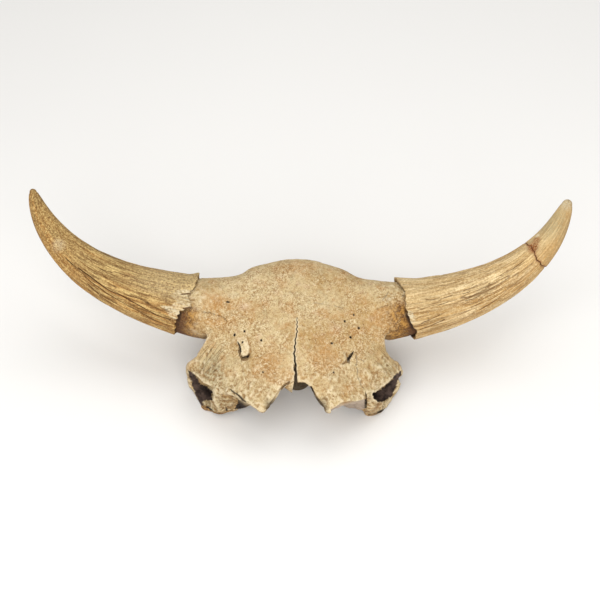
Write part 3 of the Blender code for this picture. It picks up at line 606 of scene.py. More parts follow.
def carve(bone):
    """Cuts the socket openings, pits, cracks and vein holes, and adds the inner wall and the splinter."""
    for outline in SOCKETS:
        apart = np.linalg.norm(np.subtract(outline, outline[0]), axis=1)
        ends = SOCKET_CORNER + (SOCKET_TO - SOCKET_CORNER) * smooth(*SOCKET_SLOPE, apart)
        merge(bone, block(in_view(outline, SOCKET_FROM), in_view(outline, ends)), "DIFFERENCE")
    for depth, outline in (*PITS, (SHADED_STRIP_DEPTH, SHADED_STRIP)):
        level = surface_at(bone, outline)
        near, far = in_view(outline, level - PIT_ABOVE), in_view(outline, level + depth / 1000)
        merge(bone, block(near, far), "DIFFERENCE")
    for line, depth, _ in CRACKS:
        merge(bone, crack_blade(bone, line, depth), "DIFFERENCE")
    for hole in VEIN_HOLES:
        merge(bone, vein_drill(bone, hole), "DIFFERENCE")
    level = surface_at(bone, INNER_WALL)
    near, far = (in_view(INNER_WALL, level + reach) for reach in (INNER_WALL_FROM, INNER_WALL_TO))
    merge(bone, block(near, far), "UNION")
    merge(bone, block(in_view(SPLINTER, SPLINTER_FROM), in_view(SPLINTER, SPLINTER_TO)), "UNION")


def rest_on_floor(piece):
    """Keeps every point inside the solids' own box, so that the piece rests as they do."""
    move_points(piece, np.clip(points_of(piece), cad_low, cad_high))


def round_off(piece, crease):
    """Shades a piece as smooth, with its edges sharp where they turn by more than `crease`."""
    alone(piece)
    bpy.ops.object.shade_smooth_by_angle(angle=crease)


skull_cap = fused_bone()
even_out(skull_cap)
weather(skull_cap)
lift_flake(skull_cap)
thin_out(skull_cap)
carve(skull_cap)
rest_on_floor(skull_cap)
round_off(skull_cap, BONE_CREASE)

# Painted shadow, with some soil, where each core goes in under its horn: places across and up as the viewer
# sees them, and half widths, in millimetres.
RIM_SHADOW_AND_SOIL = (
    (
        (-165.8, -47.4, 0.9), (-165.4, -37.9, 1.1), (-164.4, -28.4, 1.4), (-162.9, -20.3, 1.9),
        (-160.4, -14.9, 2), (-156.3, -12.2, 1.3), (-151.6, -10, 0.9), (-147.5, -7.8, 0.3),
    ),
    (
        (156.7, -46, 1.6), (152.9, -37.9, 2.2), (148.3, -29.1, 2), (144, -20.3, 1.3), (141.6, -10.8, 0.8),
        (140.5, 0, 0.7), (138.6, 10.8, 0.5), (135.1, 21.7, 0.3),
    ),
    ((150.2, -50.7, 1.2), (140.7, -50.1, 1.4), (129.9, -52.1, 1.2), (119.1, -55.5, 0.8)),
)


def stain_bone(bone):
    """Stores where soil and painted shade sit, where the cores are bare, where the bone is spongy, broken or
    worn, and where a painted highlight runs along the socket edges.
    """
    points = seen_from_skull(points_of(bone))
    x, y, z = points.T
    across, up, away = as_seen(points_of(bone))
    facing = normals_of(bone)[:, 2]

    # Soil and painted shade: dark in the cracks, vein holes and pits, in a dashed painted shadow beside each
    # core's rim, on the wall behind the left gap and in the open nose.
    soil_and_shade = np.zeros(len(points))
    for line, _, amount in CRACKS:
        far, width = away_from_line(x, y, line)
        soil_and_shade = np.maximum(soil_and_shade, amount * smooth(width + 0.0005, width * 0.8, far))
    for hole in VEIN_HOLES:
        middle_x, middle_y, wide, long = np.array(hole) / 1000
        far = np.hypot((x - middle_x) / wide, (y - middle_y) / long)
        soil_and_shade = np.maximum(soil_and_shade, smooth(1.35, 0.8, far))
    soil_and_shade = soil_and_shade * smooth(-0.07, -0.05, z)
    # Pit floors are painted dark: painted shade, with soil.
    for _, outline in PITS:
        level = np.nanmean(surface_at(bone, outline))
        deep = smooth(level + 0.0006, level + 0.0024, away)
        soil_and_shade = np.maximum(soil_and_shade, inside_outline(across, up, outline) * deep)
    for line in RIM_SHADOW_AND_SOIL:
        far, width = away_from_line(across, up, line)
        far = far + 0.0007 * rough(points, 0.003, 62, 2)
        broken = smooth(-0.1, 0.4, rough(points, 0.0036, 63, 2))
        broken = np.maximum(smooth(0.0008, 0.0014, width), broken) * smooth(-0.3, 0.1, facing)
        soil_and_shade = np.maximum(soil_and_shade, 0.85 * broken * smooth(width + 0.0010, width * 0.4, far))
    # The wall behind the gap beside the left prong is painted dark: painted shade.
    gap = np.nanmean(surface_at(bone, INNER_WALL))
    deep = smooth(gap + 0.004, gap + 0.008, away)
    soil_and_shade = np.maximum(soil_and_shade, inside_outline(across, up, INNER_WALL) * deep)
    # The open nose is painted nearly black: painted shade, with soil.
    nose = smooth(0.046, 0.034, np.abs(x)) * smooth(-0.026, -0.034, z) * smooth(-0.075, -0.085, y)
    store(bone, "soil_and_shade", np.maximum(soil_and_shade, 0.9 * nose))

    # Inside each socket opening the bone is painted nearly black: painted shade, with soil.
    hollow, rim = np.zeros((2, len(points)))
    for outline in SOCKETS:
        within = inside_outline(across, up, outline)
        edge = np.nanmin(surface_at(bone, outline))
        hollow = np.maximum(hollow, within * smooth(edge + 0.004, edge + 0.010, away))
        # Outside each opening runs a thin pale line: pale broken bone and a painted highlight.
        far = away_from_line(across, up, [(*spot, 0) for spot in (*outline, outline[0])])[0]
        near = smooth(0.0026, 0.0010, far) * smooth(1.70, 1.69, away)
        rim = np.maximum(rim, (1 - within) * near)
    store(bone, "hollow", hollow)
    store(bone, "rim", rim)

    ragged = 0.010 * rough(points, 0.016, 61, 3)
    outer = np.where(x < 0, -x - 0.010, x) + ragged
    core = smooth(0.114, 0.140, outer) * smooth(-0.004, -0.023, y + ragged)
    store(bone, "core", core * smooth(-0.088, -0.066, y + 0.5 * ragged))
    for name, outline in (("flake", FLAKE), ("strip", SHADED_STRIP), ("crumbled", CRUMBLED)):
        store(bone, name, inside_outline(across, up, outline) * smooth(*NEAR_SIDE, away))
    # Surfaces that face down are painted brown: painted shade.
    store(bone, "underside_shade", smooth(0.05, -0.35, facing))
    # Each core is painted dark red beside its sheath's rim: painted shade.
    store(bone, "shade", smooth(0.143, 0.156, np.abs(x) + 0.4 * ragged) * smooth(0.010, -0.010, y))
    sponge = smooth(-0.030, -0.042, z + 0.3 * ragged) * smooth(-0.080, -0.100, y)
    sponge = sponge * smooth(0.055, 0.068, np.abs(x))
    store(bone, "sponge", sponge * np.where(x > 0, 0.45, 1))
    sunk = ((eased(bone, points_of(bone), 6) - points_of(bone)) * normals_of(bone)).sum(axis=1)
    store(bone, "sunk", smooth(0.00004, 0.00035, sunk))
    store(bone, "worn", smooth(-0.00006, -0.00045, sunk))


stain_bone(skull_cap)


class Paint:
    """One output in a material's nodes. Sums and products of it add Math nodes."""

    def __init__(self, tree, socket=None):
        self.tree = tree
        self.socket = socket

    def node(self, kind, inputs=None, output=0, **settings):
        """Adds a node, makes its settings, then gives its inputs values or links."""
        made = self.tree.nodes.new(kind)
        for name, value in settings.items():
            setattr(made, name, value)
        for name, value in (inputs or {}).items():
            socket = made.inputs[name]
            if isinstance(value, Paint):
                self.tree.links.new(value.socket, socket)
            elif socket.type == "RGBA" and len(value) == 3:
                socket.default_value = (*value, 1)
            else:
                socket.default_value = value
        return Paint(self.tree, made.outputs[output]) if made.outputs else made

    def math(self, operation, *values):
        return self.node("ShaderNodeMath", dict(enumerate(values)), operation=operation)

    def __add__(self, other):
        return self.math("ADD", self, other)

    def __radd__(self, other):
        return self.math("ADD", other, self)

    def __sub__(self, other):
        return self.math("SUBTRACT", self, other)

    def __rsub__(self, other):
        return self.math("SUBTRACT", other, self)

    def __mul__(self, other):
        return self.math("MULTIPLY", self, other)

    def __rmul__(self, other):
        return self.math("MULTIPLY", other, self)

    def slope(self, low, high):
        """0 where this is below `low`, 1 above `high`, and an easy slope between."""
        return self.node(
            "ShaderNodeMapRange",
            {"Value": self, "From Min": low, "From Max": high},
            interpolation_type="SMOOTHSTEP",
        )

    def speckle(self, size, seed, detail=2.0, warp=0.0):
        """Chance values from 0 to 1 that vary over about `size` metres, where this is a place."""
        return self.node(
            "ShaderNodeTexNoise",
            {"Vector": self, "W": seed, "Scale": 1 / size, "Detail": detail, "Distortion": warp},
            noise_dimensions="4D",
        )

    def mark(self, name, output=2):
        """A number, or with output 1 a place, that the mesh holds for each point."""
        return self.node("ShaderNodeAttribute", output=output, attribute_name=name)

    def blend(self, first, last):
        """From one colour to another as this goes from 0 to 1."""
        return self.node("ShaderNodeMix", {0: self, 6: first, 7: last}, output=2, data_type="RGBA")

    def over(self, *layers):
        """This colour with others laid over it in turn: each a colour, and how much of it shows."""
        shade = self
        for colour, amount in layers:
            shade = amount.blend(shade, colour)
        return shade

    def fine_lines(self, half):
        """1 where this pattern crosses its middle value, and 0 where it is `half` away from that."""
        return 1 - self.math("ABSOLUTE", self - 0.5).slope(0.0, half)

    def stain(self, middle, reach):
        """1 at a place and 0 past its reach, where this is a place."""
        apart = self.node("ShaderNodeVectorMath", {0: self, 1: middle}, operation="SUBTRACT")
        shares = self.node("ShaderNodeVectorMath", {0: apart, 1: reach}, operation="DIVIDE")
        far = self.node("ShaderNodeVectorMath", {0: shares}, output=1, operation="LENGTH")
        return 1 - far.slope(0.2, 1.0)


def new_paint(name):
    """An empty material, and a wrapper to add nodes to it."""
    material = bpy.data.materials.new(name)
    material.use_nodes = True
    material.node_tree.nodes.clear()
    return material, Paint(material.node_tree)


DRY_GLOSS = 0.25


def close_paint(paint, colour, roughness, height, depth, strength=1.0):
    """Feeds the surface shader: its colour, its roughness, and a bump `depth` metres high."""
    bump = paint.node("ShaderNodeBump", {"Height": height, "Distance": depth, "Strength": strength})
    shader = paint.node(
        "ShaderNodeBsdfPrincipled",
        {"Base Color": colour, "Roughness": roughness, "Normal": bump, "Specular IOR Level": DRY_GLOSS},
    )
    paint.node("ShaderNodeOutputMaterial", {"Surface": shader})


TAN = (0.435, 0.287, 0.117)
STRAW = (0.555, 0.425, 0.225)
OCHRE = (0.425, 0.222, 0.070)
OLIVE = (0.410, 0.340, 0.190)
ROSE = (0.52, 0.335, 0.215)
CREAM = (0.72, 0.605, 0.400)
# The grey of the deeper plate under the right eye: painted shade.
STRIP_SHADE_GREY = (0.36, 0.290, 0.235)
CORE_BROWN = (0.170, 0.074, 0.014)
CORE_ORANGE = (0.42, 0.215, 0.048)
CORE_RED = (0.075, 0.026, 0.010)
# Dark soil and painted shade, then painted shade with soil inside the sockets.
DARK_SOIL_AND_SHADE = (0.020, 0.011, 0.006)
SOCKET_SHADE_SOIL_BROWN = (0.018, 0.010, 0.007)
SOCKET_SHADE_SOIL_GREY = (0.085, 0.055, 0.042)
SPECK_BROWN = (0.245, 0.130, 0.042)

# Each stain on the bone: its colour, its middle and reach in the row frame in metres, and its strength.
STAINS = (
    (OCHRE, (-0.040, -0.082, 0.116), (0.034, 0.032, 0.05), 0.90),
    (OCHRE, (0.034, -0.072, 0.116), (0.030, 0.036, 0.05), 0.80),
    (OCHRE, (-0.010, -0.100, 0.116), (0.024, 0.022, 0.05), 0.80),
    (OCHRE, (-0.108, -0.008, 0.128), (0.044, 0.032, 0.05), 0.95),
    (CORE_ORANGE, (-0.118, -0.012, 0.125), (0.034, 0.028, 0.05), 0.35),
    (SPECK_BROWN, (-0.054, -0.100, 0.100), (0.036, 0.032, 0.05), 0.34),
    (SPECK_BROWN, (0.054, -0.100, 0.100), (0.036, 0.032, 0.05), 0.28),
    (OCHRE, (-0.055, -0.004, 0.140), (0.020, 0.012, 0.05), 0.60),
    (OCHRE, (0.112, -0.020, 0.125), (0.032, 0.026, 0.05), 0.80),
    (OCHRE, (0.078, -0.062, 0.125), (0.014, 0.016, 0.05), 0.55),
    (OCHRE, (-0.004, 0.056, 0.152), (0.046, 0.024, 0.05), 0.80),
    (ROSE, (-0.076, -0.003, 0.140), (0.012, 0.008, 0.05), 0.80),
    (ROSE, (0.048, -0.035, 0.135), (0.014, 0.012, 0.05), 0.60),
    (CREAM, (-0.092, 0.012, 0.140), (0.012, 0.006, 0.05), 0.60),
    (OLIVE, (-0.118, -0.070, 0.095), (0.034, 0.034, 0.06), 0.95),
    (OLIVE, (0.122, -0.060, 0.095), (0.028, 0.026, 0.06), 0.80),
    (STRAW, (0.020, -0.010, 0.150), (0.060, 0.024, 0.05), 0.60),
)

# Where the bone beside each eye has weathered into fine furrows: their turns about Y and Z in
# degrees, and the middle of that place in the row frame. Then how far the place reaches, and how far
# the furrows are drawn out.
FURROWS = ((-40.3, 35.9, (-0.120, -0.056, 0.088)), (-43.9, 147.9, (0.118, -0.054, 0.083)))
FURROW_REACH = (0.030, 0.030, 0.05)
FURROW_STRETCH = (8, 1, 1)
# The middle and the reach of the crackled bone at the top of the brow.
CRACKLED = ((0.020, -0.008, 0.150), (0.055, 0.040, 0.06))
BONE_BUMP = 0.0017


def bone_paint():
    """Weathered bone: stains and specks over a base tone, furrows, bare brown cores, soil, and painted shade
    and highlight.
    """
    material, paint = new_paint("weathered_bone")
    place = paint.node("ShaderNodeTexCoord", output=3)
    cloud = place.speckle(0.055, 1, 3)
    patch = place.speckle(0.018, 2, 3, warp=0.3)
    tint = place.speckle(0.010, 3, 3)
    blotch = place.speckle(0.0060, 4)
    grain = place.speckle(0.0030, 5)
    dust = place.speckle(0.0015, 6)
    pores = place.speckle(0.0022, 7, 1)
    furrowed, calm = 0, 1
    for pitch, heading, middle in FURROWS:
        turn = (0, math.radians(pitch), math.radians(heading))
        along = {"Vector": place, "Rotation": turn, "Scale": FURROW_STRETCH}
        rows = paint.node("ShaderNodeMapping", along, vector_type="TEXTURE").speckle(0.0044, 10, 1)
        near = place.stain(middle, FURROW_REACH).slope(0.15, 0.75)
        furrowed = near * rows.fine_lines(0.045) + furrowed
        calm = calm - 0.60 * near
    grit = (0.45 + 0.55 * place.speckle(0.022, 8).slope(0.38, 0.62)) * calm
    crackle = place.speckle(0.0055, 9, 1, warp=0.4).fine_lines(0.035)
    sponge, core = paint.mark("sponge"), paint.mark("core")
    shade = cloud.slope(0.42, 0.58).blend(TAN, STRAW)
    for colour, middle, reach, strength in STAINS:
        shade = shade.over((colour, strength * place.stain(middle, reach) * tint.slope(0.28, 0.56)))
    brown = tint.slope(0.40, 0.60).blend(CORE_BROWN, CORE_ORANGE).over(
        (CORE_RED, 0.75 * (1 - grain).slope(0.47, 0.58)),
        (CORE_ORANGE, 0.75 * dust.slope(0.50, 0.62)),
        (STRAW, 0.36 * blotch.slope(0.54, 0.64) * dust.slope(0.40, 0.60)),
        # Painted shade on the core beside the sheath's rim.
        (CORE_RED, 0.85 * paint.mark("shade")),
    )
    shade = shade.over(
        (OCHRE, 0.60 * patch.slope(0.52, 0.66)),
        (OLIVE, 0.45 * (1 - patch).slope(0.54, 0.66)),
        (ROSE, 0.32 * calm * (1 - tint).slope(0.55, 0.68)),
        (STRAW, 0.42 * calm * tint.slope(0.52, 0.64)),
        (OLIVE, sponge * 0.65),
        (CREAM, 0.55 * crackle * place.stain(*CRACKLED)),
        (SPECK_BROWN, 0.18 * calm * (1 - blotch).slope(0.50, 0.66)),
        (CREAM, 0.15 * calm * blotch.slope(0.52, 0.68)),
        (SPECK_BROWN, grit * 0.66 * (1 - grain).slope(0.49, 0.66)),
        (CREAM, grit * 0.56 * grain.slope(0.52, 0.68)),
        (SPECK_BROWN, grit * 0.80 * (1 - dust).slope(0.51, 0.64)),
        (CREAM, grit * 0.62 * dust.slope(0.53, 0.66)),
        (CORE_BROWN, 0.70 * pores.slope(0.64, 0.71)),
        (SPECK_BROWN, 0.36 * furrowed),
        (SPECK_BROWN, sponge * 0.60 * (1 - grain).slope(0.45, 0.60)),
        (CREAM, paint.mark("worn") * 0.60),
        # Painted highlight and pale broken bone along the socket edges.
        (CREAM, paint.mark("rim") * 0.55),
        (CREAM, paint.mark("flake") * (0.20 + 0.50 * grain.slope(0.42, 0.60))),
        (brown, core * 0.97),
        (brown, paint.mark("crumbled") * 0.85),
        # Painted shade on surfaces that face down.
        (brown, paint.mark("underside_shade") * 0.70),
        (SPECK_BROWN, paint.mark("sunk") * 0.55 * (1 - 0.7 * core)),
        # Painted shade: the deeper plate under the right eye is grey.
        (STRIP_SHADE_GREY, paint.mark("strip") * (0.70 + 0.25 * grain)),
        # Painted shade, with soil, inside the sockets.
        (tint.slope(0.35, 0.65).blend(SOCKET_SHADE_SOIL_BROWN, SOCKET_SHADE_SOIL_GREY), paint.mark("hollow")),
        # Soil and painted shade in the cracks, holes, pits and nose, and beside the cores.
        (DARK_SOIL_AND_SHADE, paint.mark("soil_and_shade")),
    )
    height = grain * 0.7 + dust * 0.4 + blotch * 0.8 + sponge * (blotch * 1.4 + grain) - furrowed * 0.5
    close_paint(paint, shade, 0.78 + 0.15 * blotch, height, BONE_BUMP)
    return material


skull_cap.data.materials.clear()
skull_cap.data.materials.append(bone_paint())
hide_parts(*BONE_NODES)
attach(skull_cap, "root")


# The horn sheaths: the hollow outer horns, hard fibrous keratin that dried and split in
# layers. Each still sits on its core, broken back to a ragged, flaking rim. The left one is
# whole to its tip. The right one's tip has broken off and stands on it again, a little proud.

# The middle lines of both horns: where they leave the head, how far they lean back, sag and come
# forward at the tip. The walls of the sheaths in metres, and the crack under the broken tip.
HORN_BASE_OUT = 0.1177
HORN_BASE_DROP = 0.036
HORN_LEAN = math.radians(30)
HORN_SAG = 0.008
HORN_TIP_FORWARD = 0.020
HORN_STEPS = 240
HORN_CREASE = math.radians(50)
SHEATH_WALL = 0.0042
RIM_WALL = 0.0016
RIM_FLARE = 0.0030
CORE_END = 0.26
EDGE_ROUND = 0.0006
CRACK_HALF = 0.0009
TIP_PROUD = 0.0012
LAYER_DEPTHS = (0.0006, 0.0005)
FIBRE_RADIUS = 0.044
# Each horn: its side, how far up it starts, its length, the share of it that is not worn off, how far
# its top flares, its headings, how late it bends, its radii, their taper, and a shift of its patterns.
LEFT_HORN = dict(
    side=-1, root=-0.0041, length=0.3122, worn=0.988, flare=0.065, start=0.228, end=1.407, power=2.08,
    base=0.0469, tip=0.0048, taper=0.678, phase=1.7,
)
RIGHT_HORN = dict(
    side=1, root=-0.0074, length=0.3128, worn=0.986, flare=0.110, start=0.158, end=1.316, power=1.954,
    base=0.0451, tip=0.0070, taper=0.705, phase=4.1,
)
# Each rim and crack: the turn in degrees, from the inner edge past the front, and the share of the length.
LEFT_RIM = (
    (0, 0.076), (14, 0.071), (22, 0.076), (32, 0.07), (40, 0.08), (48, 0.074), (55, 0.083), (60, 0.098),
    (64, 0.09), (70, 0.106), (74, 0.098), (79, 0.088), (82, 0.08), (87, 0.083), (90, 0.074), (92, 0.088),
    (95, 0.104), (98, 0.112), (100, 0.125), (105, 0.122), (109, 0.131), (114, 0.126), (118, 0.134),
    (123, 0.129), (128, 0.135), (136, 0.128), (145, 0.134), (156, 0.13), (167, 0.132), (180, 0.14),
    (200, 0.134), (225, 0.124), (255, 0.118), (290, 0.09), (325, 0.078), (360, 0.076),
)
RIGHT_RIM = (
    (0, 0.068), (8, 0.08), (17, 0.077), (25, 0.083), (36, 0.09), (42, 0.098), (48, 0.101), (55, 0.108),
    (60, 0.104), (66, 0.107), (72, 0.099), (78, 0.103), (86, 0.098), (93, 0.104), (98, 0.102), (104, 0.109),
    (112, 0.108), (120, 0.117), (128, 0.12), (136, 0.131), (144, 0.133), (156, 0.129), (168, 0.128),
    (180, 0.124), (212, 0.112), (250, 0.128), (290, 0.092), (330, 0.074), (360, 0.068),
)
TIP_CRACK = (
    (0, 0.735), (23, 0.735), (36, 0.731), (50, 0.737), (69, 0.727), (76, 0.729), (85, 0.718), (95, 0.716),
    (105, 0.71), (118, 0.716), (130, 0.711), (143, 0.716), (158, 0.722), (173, 0.723), (210, 0.742),
    (250, 0.752), (300, 0.746), (360, 0.735),
)
# How far back from the rim the outer layers have flaked off, in the same terms.
LEFT_FLAKED = (
    (0, 0), (55, 0), (59, 0.137), (63, 0.16), (70, 0.172), (76, 0.18), (84, 0.146), (92, 0.16),
    (101, 0.207), (105, 0.183), (113, 0.167), (118, 0.145), (124, 0), (360, 0),
)
RIGHT_FLAKED = ((0, 0), (86, 0), (92, 0.118), (104, 0.128), (116, 0.124), (122, 0), (360, 0))
# Each groove: its half width and depth in millimetres, and its turns and shares.
LEFT_GROOVES = (
    (1, 1.5, (
        (104, 0.6), (104, 0.568), (104, 0.533), (110, 0.445), (108, 0.383), (114, 0.293), (121, 0.22),
        (121, 0.153),
    )),
    (0.9, 1.2, ((112, 0.56), (116, 0.513), (122, 0.423), (126, 0.33), (134, 0.238), (140, 0.15))),
    (0.9, 1.1, ((128, 0.54), (139, 0.463), (147, 0.37), (150, 0.258), (156, 0.16))),
    (0.7, 0.8, ((100, 0.3), (104, 0.25), (108, 0.2), (110, 0.165))),
    (0.6, 0.8, ((128, 0.3), (130, 0.235), (130, 0.17))),
    (0.6, 0.7, ((62, 0.58), (61, 0.545), (61, 0.525), (63, 0.47))),
    (0.8, 1, ((63, 0.457), (61, 0.43), (60, 0.387))),
    (0.6, 0.7, ((35, 0.262), (37, 0.237))),
    (0.9, 1.2, ((107, 0.665), (107, 0.625))),
    (0.7, 0.6, ((46, 0.858), (37, 0.825))),
    (0.5, 0.5, ((88, 0.64), (90, 0.56), (94, 0.5))),
    (0.5, 0.5, ((76, 0.5), (80, 0.4), (84, 0.33))),
)
RIGHT_GROOVES = (
    (0.6, 0.9, ((77, 0.188), (79, 0.22), (78, 0.252))),
    (0.7, 0.9, ((81, 0.268), (79, 0.312))),
    (0.7, 0.9, ((84, 0.353), (84, 0.388))),
    (0.6, 0.8, ((43, 0.462), (46, 0.503))),
    (0.6, 0.9, ((93, 0.237), (91, 0.285))),
    (0.7, 1, ((100, 0.355), (102, 0.39), (101, 0.423))),
    (0.7, 0.8, ((115, 0.393), (115, 0.43))),
    (1, 0.8, ((139, 0.407), (136, 0.45), (132, 0.5))),
    (0.9, 1.2, ((137, 0.142), (134, 0.2), (129, 0.252))),
    (0.8, 1, ((123, 0.153), (119, 0.195), (114, 0.235))),
    (0.9, 1.1, ((150, 0.15), (148, 0.22), (146, 0.3), (143, 0.38))),
)
TIP_GROOVES = (
    (0.9, 0.6, ((58, 0.736), (52, 0.75), (50, 0.764))),
    (0.9, 0.6, ((70, 0.733), (66, 0.748), (63, 0.758))),
    (0.7, 0.5, ((84, 0.724), (82, 0.736), (83, 0.744))),
    (0.7, 0.4, ((34, 0.775), (33, 0.788), (36, 0.8))),
)
# The fibres, in layers: their height at the tip, what is added near the head, how far they are
# drawn out, their size and their seed.
FIBRE_LAYERS = (
    (0.0002, 0.0009, 7, 0.0070, 5),
    (0.0001, 0.0004, 14, 0.0032, 15),
    (0.0001, 0.0003, 2, 0.0090, 25),
)


def horn_place(horn, share, turn, radius):
    """The place at a share of a horn's length, a turn from its inner edge and a radius."""
    steps = np.arange(HORN_STEPS + 1) / HORN_STEPS
    bend = horn["start"] + (horn["end"] - horn["start"]) * steps ** horn["power"]
    heading = bend * smooth(-0.02, 0.15, steps)
    middle = (heading[1:] + heading[:-1]) / 2
    stride = horn["length"] / HORN_STEPS
    along = np.concatenate([[0], np.cumsum(stride * np.cos(middle))])
    rise = np.concatenate([[0], np.cumsum(stride * np.sin(middle))]) + horn["root"]
    beyond = np.clip(share - 1, 0, None) * horn["length"]
    along = np.interp(share, steps, along) + beyond * math.cos(heading[-1])
    rise = np.interp(share, steps, rise) + beyond * math.sin(heading[-1])
    heading = np.interp(share, steps, heading)
    lift = HORN_TIP_FORWARD * share**2 - 4 * HORN_SAG * share * (1 - share)
    out = np.array([horn["side"], 0, 0])
    up = np.array([0, math.cos(HORN_LEAN), math.sin(HORN_LEAN)])
    face = np.array([0, -math.sin(HORN_LEAN), math.cos(HORN_LEAN)])
    centre = np.outer(HORN_BASE_OUT + along, out) + np.outer(rise, up) + np.outer(lift, face)
    centre[:, 2] -= HORN_BASE_DROP
    inner = np.outer(np.cos(heading), up) - np.outer(np.sin(heading), out)
    around = np.cos(turn)[:, None] * inner + np.sin(turn)[:, None] * face
    return placed_from_skull(centre + radius[:, None] * around)


def horn_radius(horn, share):
    left = np.clip(1 - share / horn["worn"], 0, 1)
    return horn["tip"] + (horn["base"] - horn["tip"]) * left ** horn["taper"]


def around_horn(turn, table):
    """A value from a table of turns in degrees, for any turn."""
    turns, values = np.array(table, float).T
    return np.interp(np.degrees(turn) % 360, turns, values)


def fibre_place(horn, share, turn, stretch):
    """Places for patterns along the horn: drawn out lengthwise by `stretch`, and closed all round."""
    along = share * horn["length"] / stretch + horn["phase"]
    return np.stack([FIBRE_RADIUS * np.cos(turn), FIBRE_RADIUS * np.sin(turn), along], axis=1)


def away_from_groove(horn, share, turn, line):
    """How far each point of a horn is from a groove given by turns and shares, in metres."""
    turns, shares = np.array(line, float).T
    turns = np.radians(turns)
    broad = horn_radius(horn, share)
    far = np.full(len(share), 1.0)
    for index in range(len(line) - 1):
        along = (share - shares[index]) * horn["length"]
        around = (turn - turns[index]) * broad
        step_along = (shares[index + 1] - shares[index]) * horn["length"]
        step_around = (turns[index + 1] - turns[index]) * broad
        square = step_along**2 + step_around**2
        part = np.clip((along * step_along + around * step_around) / square, 0, 1)
        far = np.minimum(far, np.hypot(along - part * step_along, around - part * step_around))
    return far


def fibre_lines(horn, share, turn):
    """0 on most of a horn, and up to 1 on the long wavy lines where its fibres have parted."""
    first = np.abs(rough(fibre_place(horn, share, turn, 11), 0.0085, 91, 2))
    second = np.abs(rough(fibre_place(horn, share, turn, 7), 0.0050, 95, 2))
    shown = smooth(-0.25, 0.25, rough(fibre_place(horn, share, turn, 3), 0.014, 99, 2))
    return np.maximum(smooth(0.070, 0, first), 0.8 * smooth(0.070, 0, second)) * (0.30 + 0.70 * shown)


def fibres(horn, share, turn):
    """How the outside of a horn rises and falls: fibres, wavy ridges and rings, flatter to the tip."""
    worn = 1 - smooth(0.55, 0.95, share)
    phase = horn["phase"]
    flutes = 0.010 * np.sin(9 * turn + phase + 3 * share) + 0.008 * np.sin(13 * turn + 2 * phase - 4 * share)
    flutes += 0.012 * np.sin(3 * turn + phase)
    rise = horn_radius(horn, share) * flutes * (1 - smooth(0.62, 0.95, share))
    for low, more, stretch, size, seed in FIBRE_LAYERS:
        rise += (low + more * worn) * rough(fibre_place(horn, share, turn, stretch), size, seed, 2)
    return rise - 0.0009 * worn * fibre_lines(horn, share, turn)


def groove_depth(horn, share, turn, grooves):
    """How deep the named grooves cut at each point, in metres."""
    deep = np.zeros(len(share))
    for half, depth, line in grooves:
        far = away_from_groove(horn, share, turn, line)
        deep = np.maximum(deep, depth / 1000 * smooth(half / 1000 * 1.15, 0, far))
    return deep


def rim_layers(horn, share, turn, flaked):
    """How far the outer layers have flaked off behind the rim, and where that bares pale horn."""
    ragged = 0.014 * rough(fibre_place(horn, share, turn, 1.6), 0.006, 71, 3)
    edge = around_horn(turn, flaked)
    first = smooth(0.0016, -0.0016, share - edge - ragged)
    second = smooth(0.0016, -0.0016, share - 0.86 * edge + 1.4 * ragged)
    return LAYER_DEPTHS[0] * first + LAYER_DEPTHS[1] * second, first


def horn_marks(horn, share, turn, crack):
    """What the materials read at each point of a horn."""
    around = np.degrees(turn)
    split = 0 * share
    if crack is not None:
        split = smooth(0.012, 0.001, np.abs(share - around_horn(turn, crack)))
    return {
        "fibre": fibre_place(horn, share, turn, 12),
        "along": share,
        "low": smooth(75, 112, around) * smooth(240, 200, around),
        "upper": smooth(108, 66, around) + smooth(270, 310, around),
        "split": split,
    }


def stages(row, counts):
    """How far each row is along each stretch of so many rows, from 0 to 1."""
    starts = np.cumsum((0, *counts))
    return (np.clip((row - start) / count, 0, 1) for start, count in zip(starts, counts))


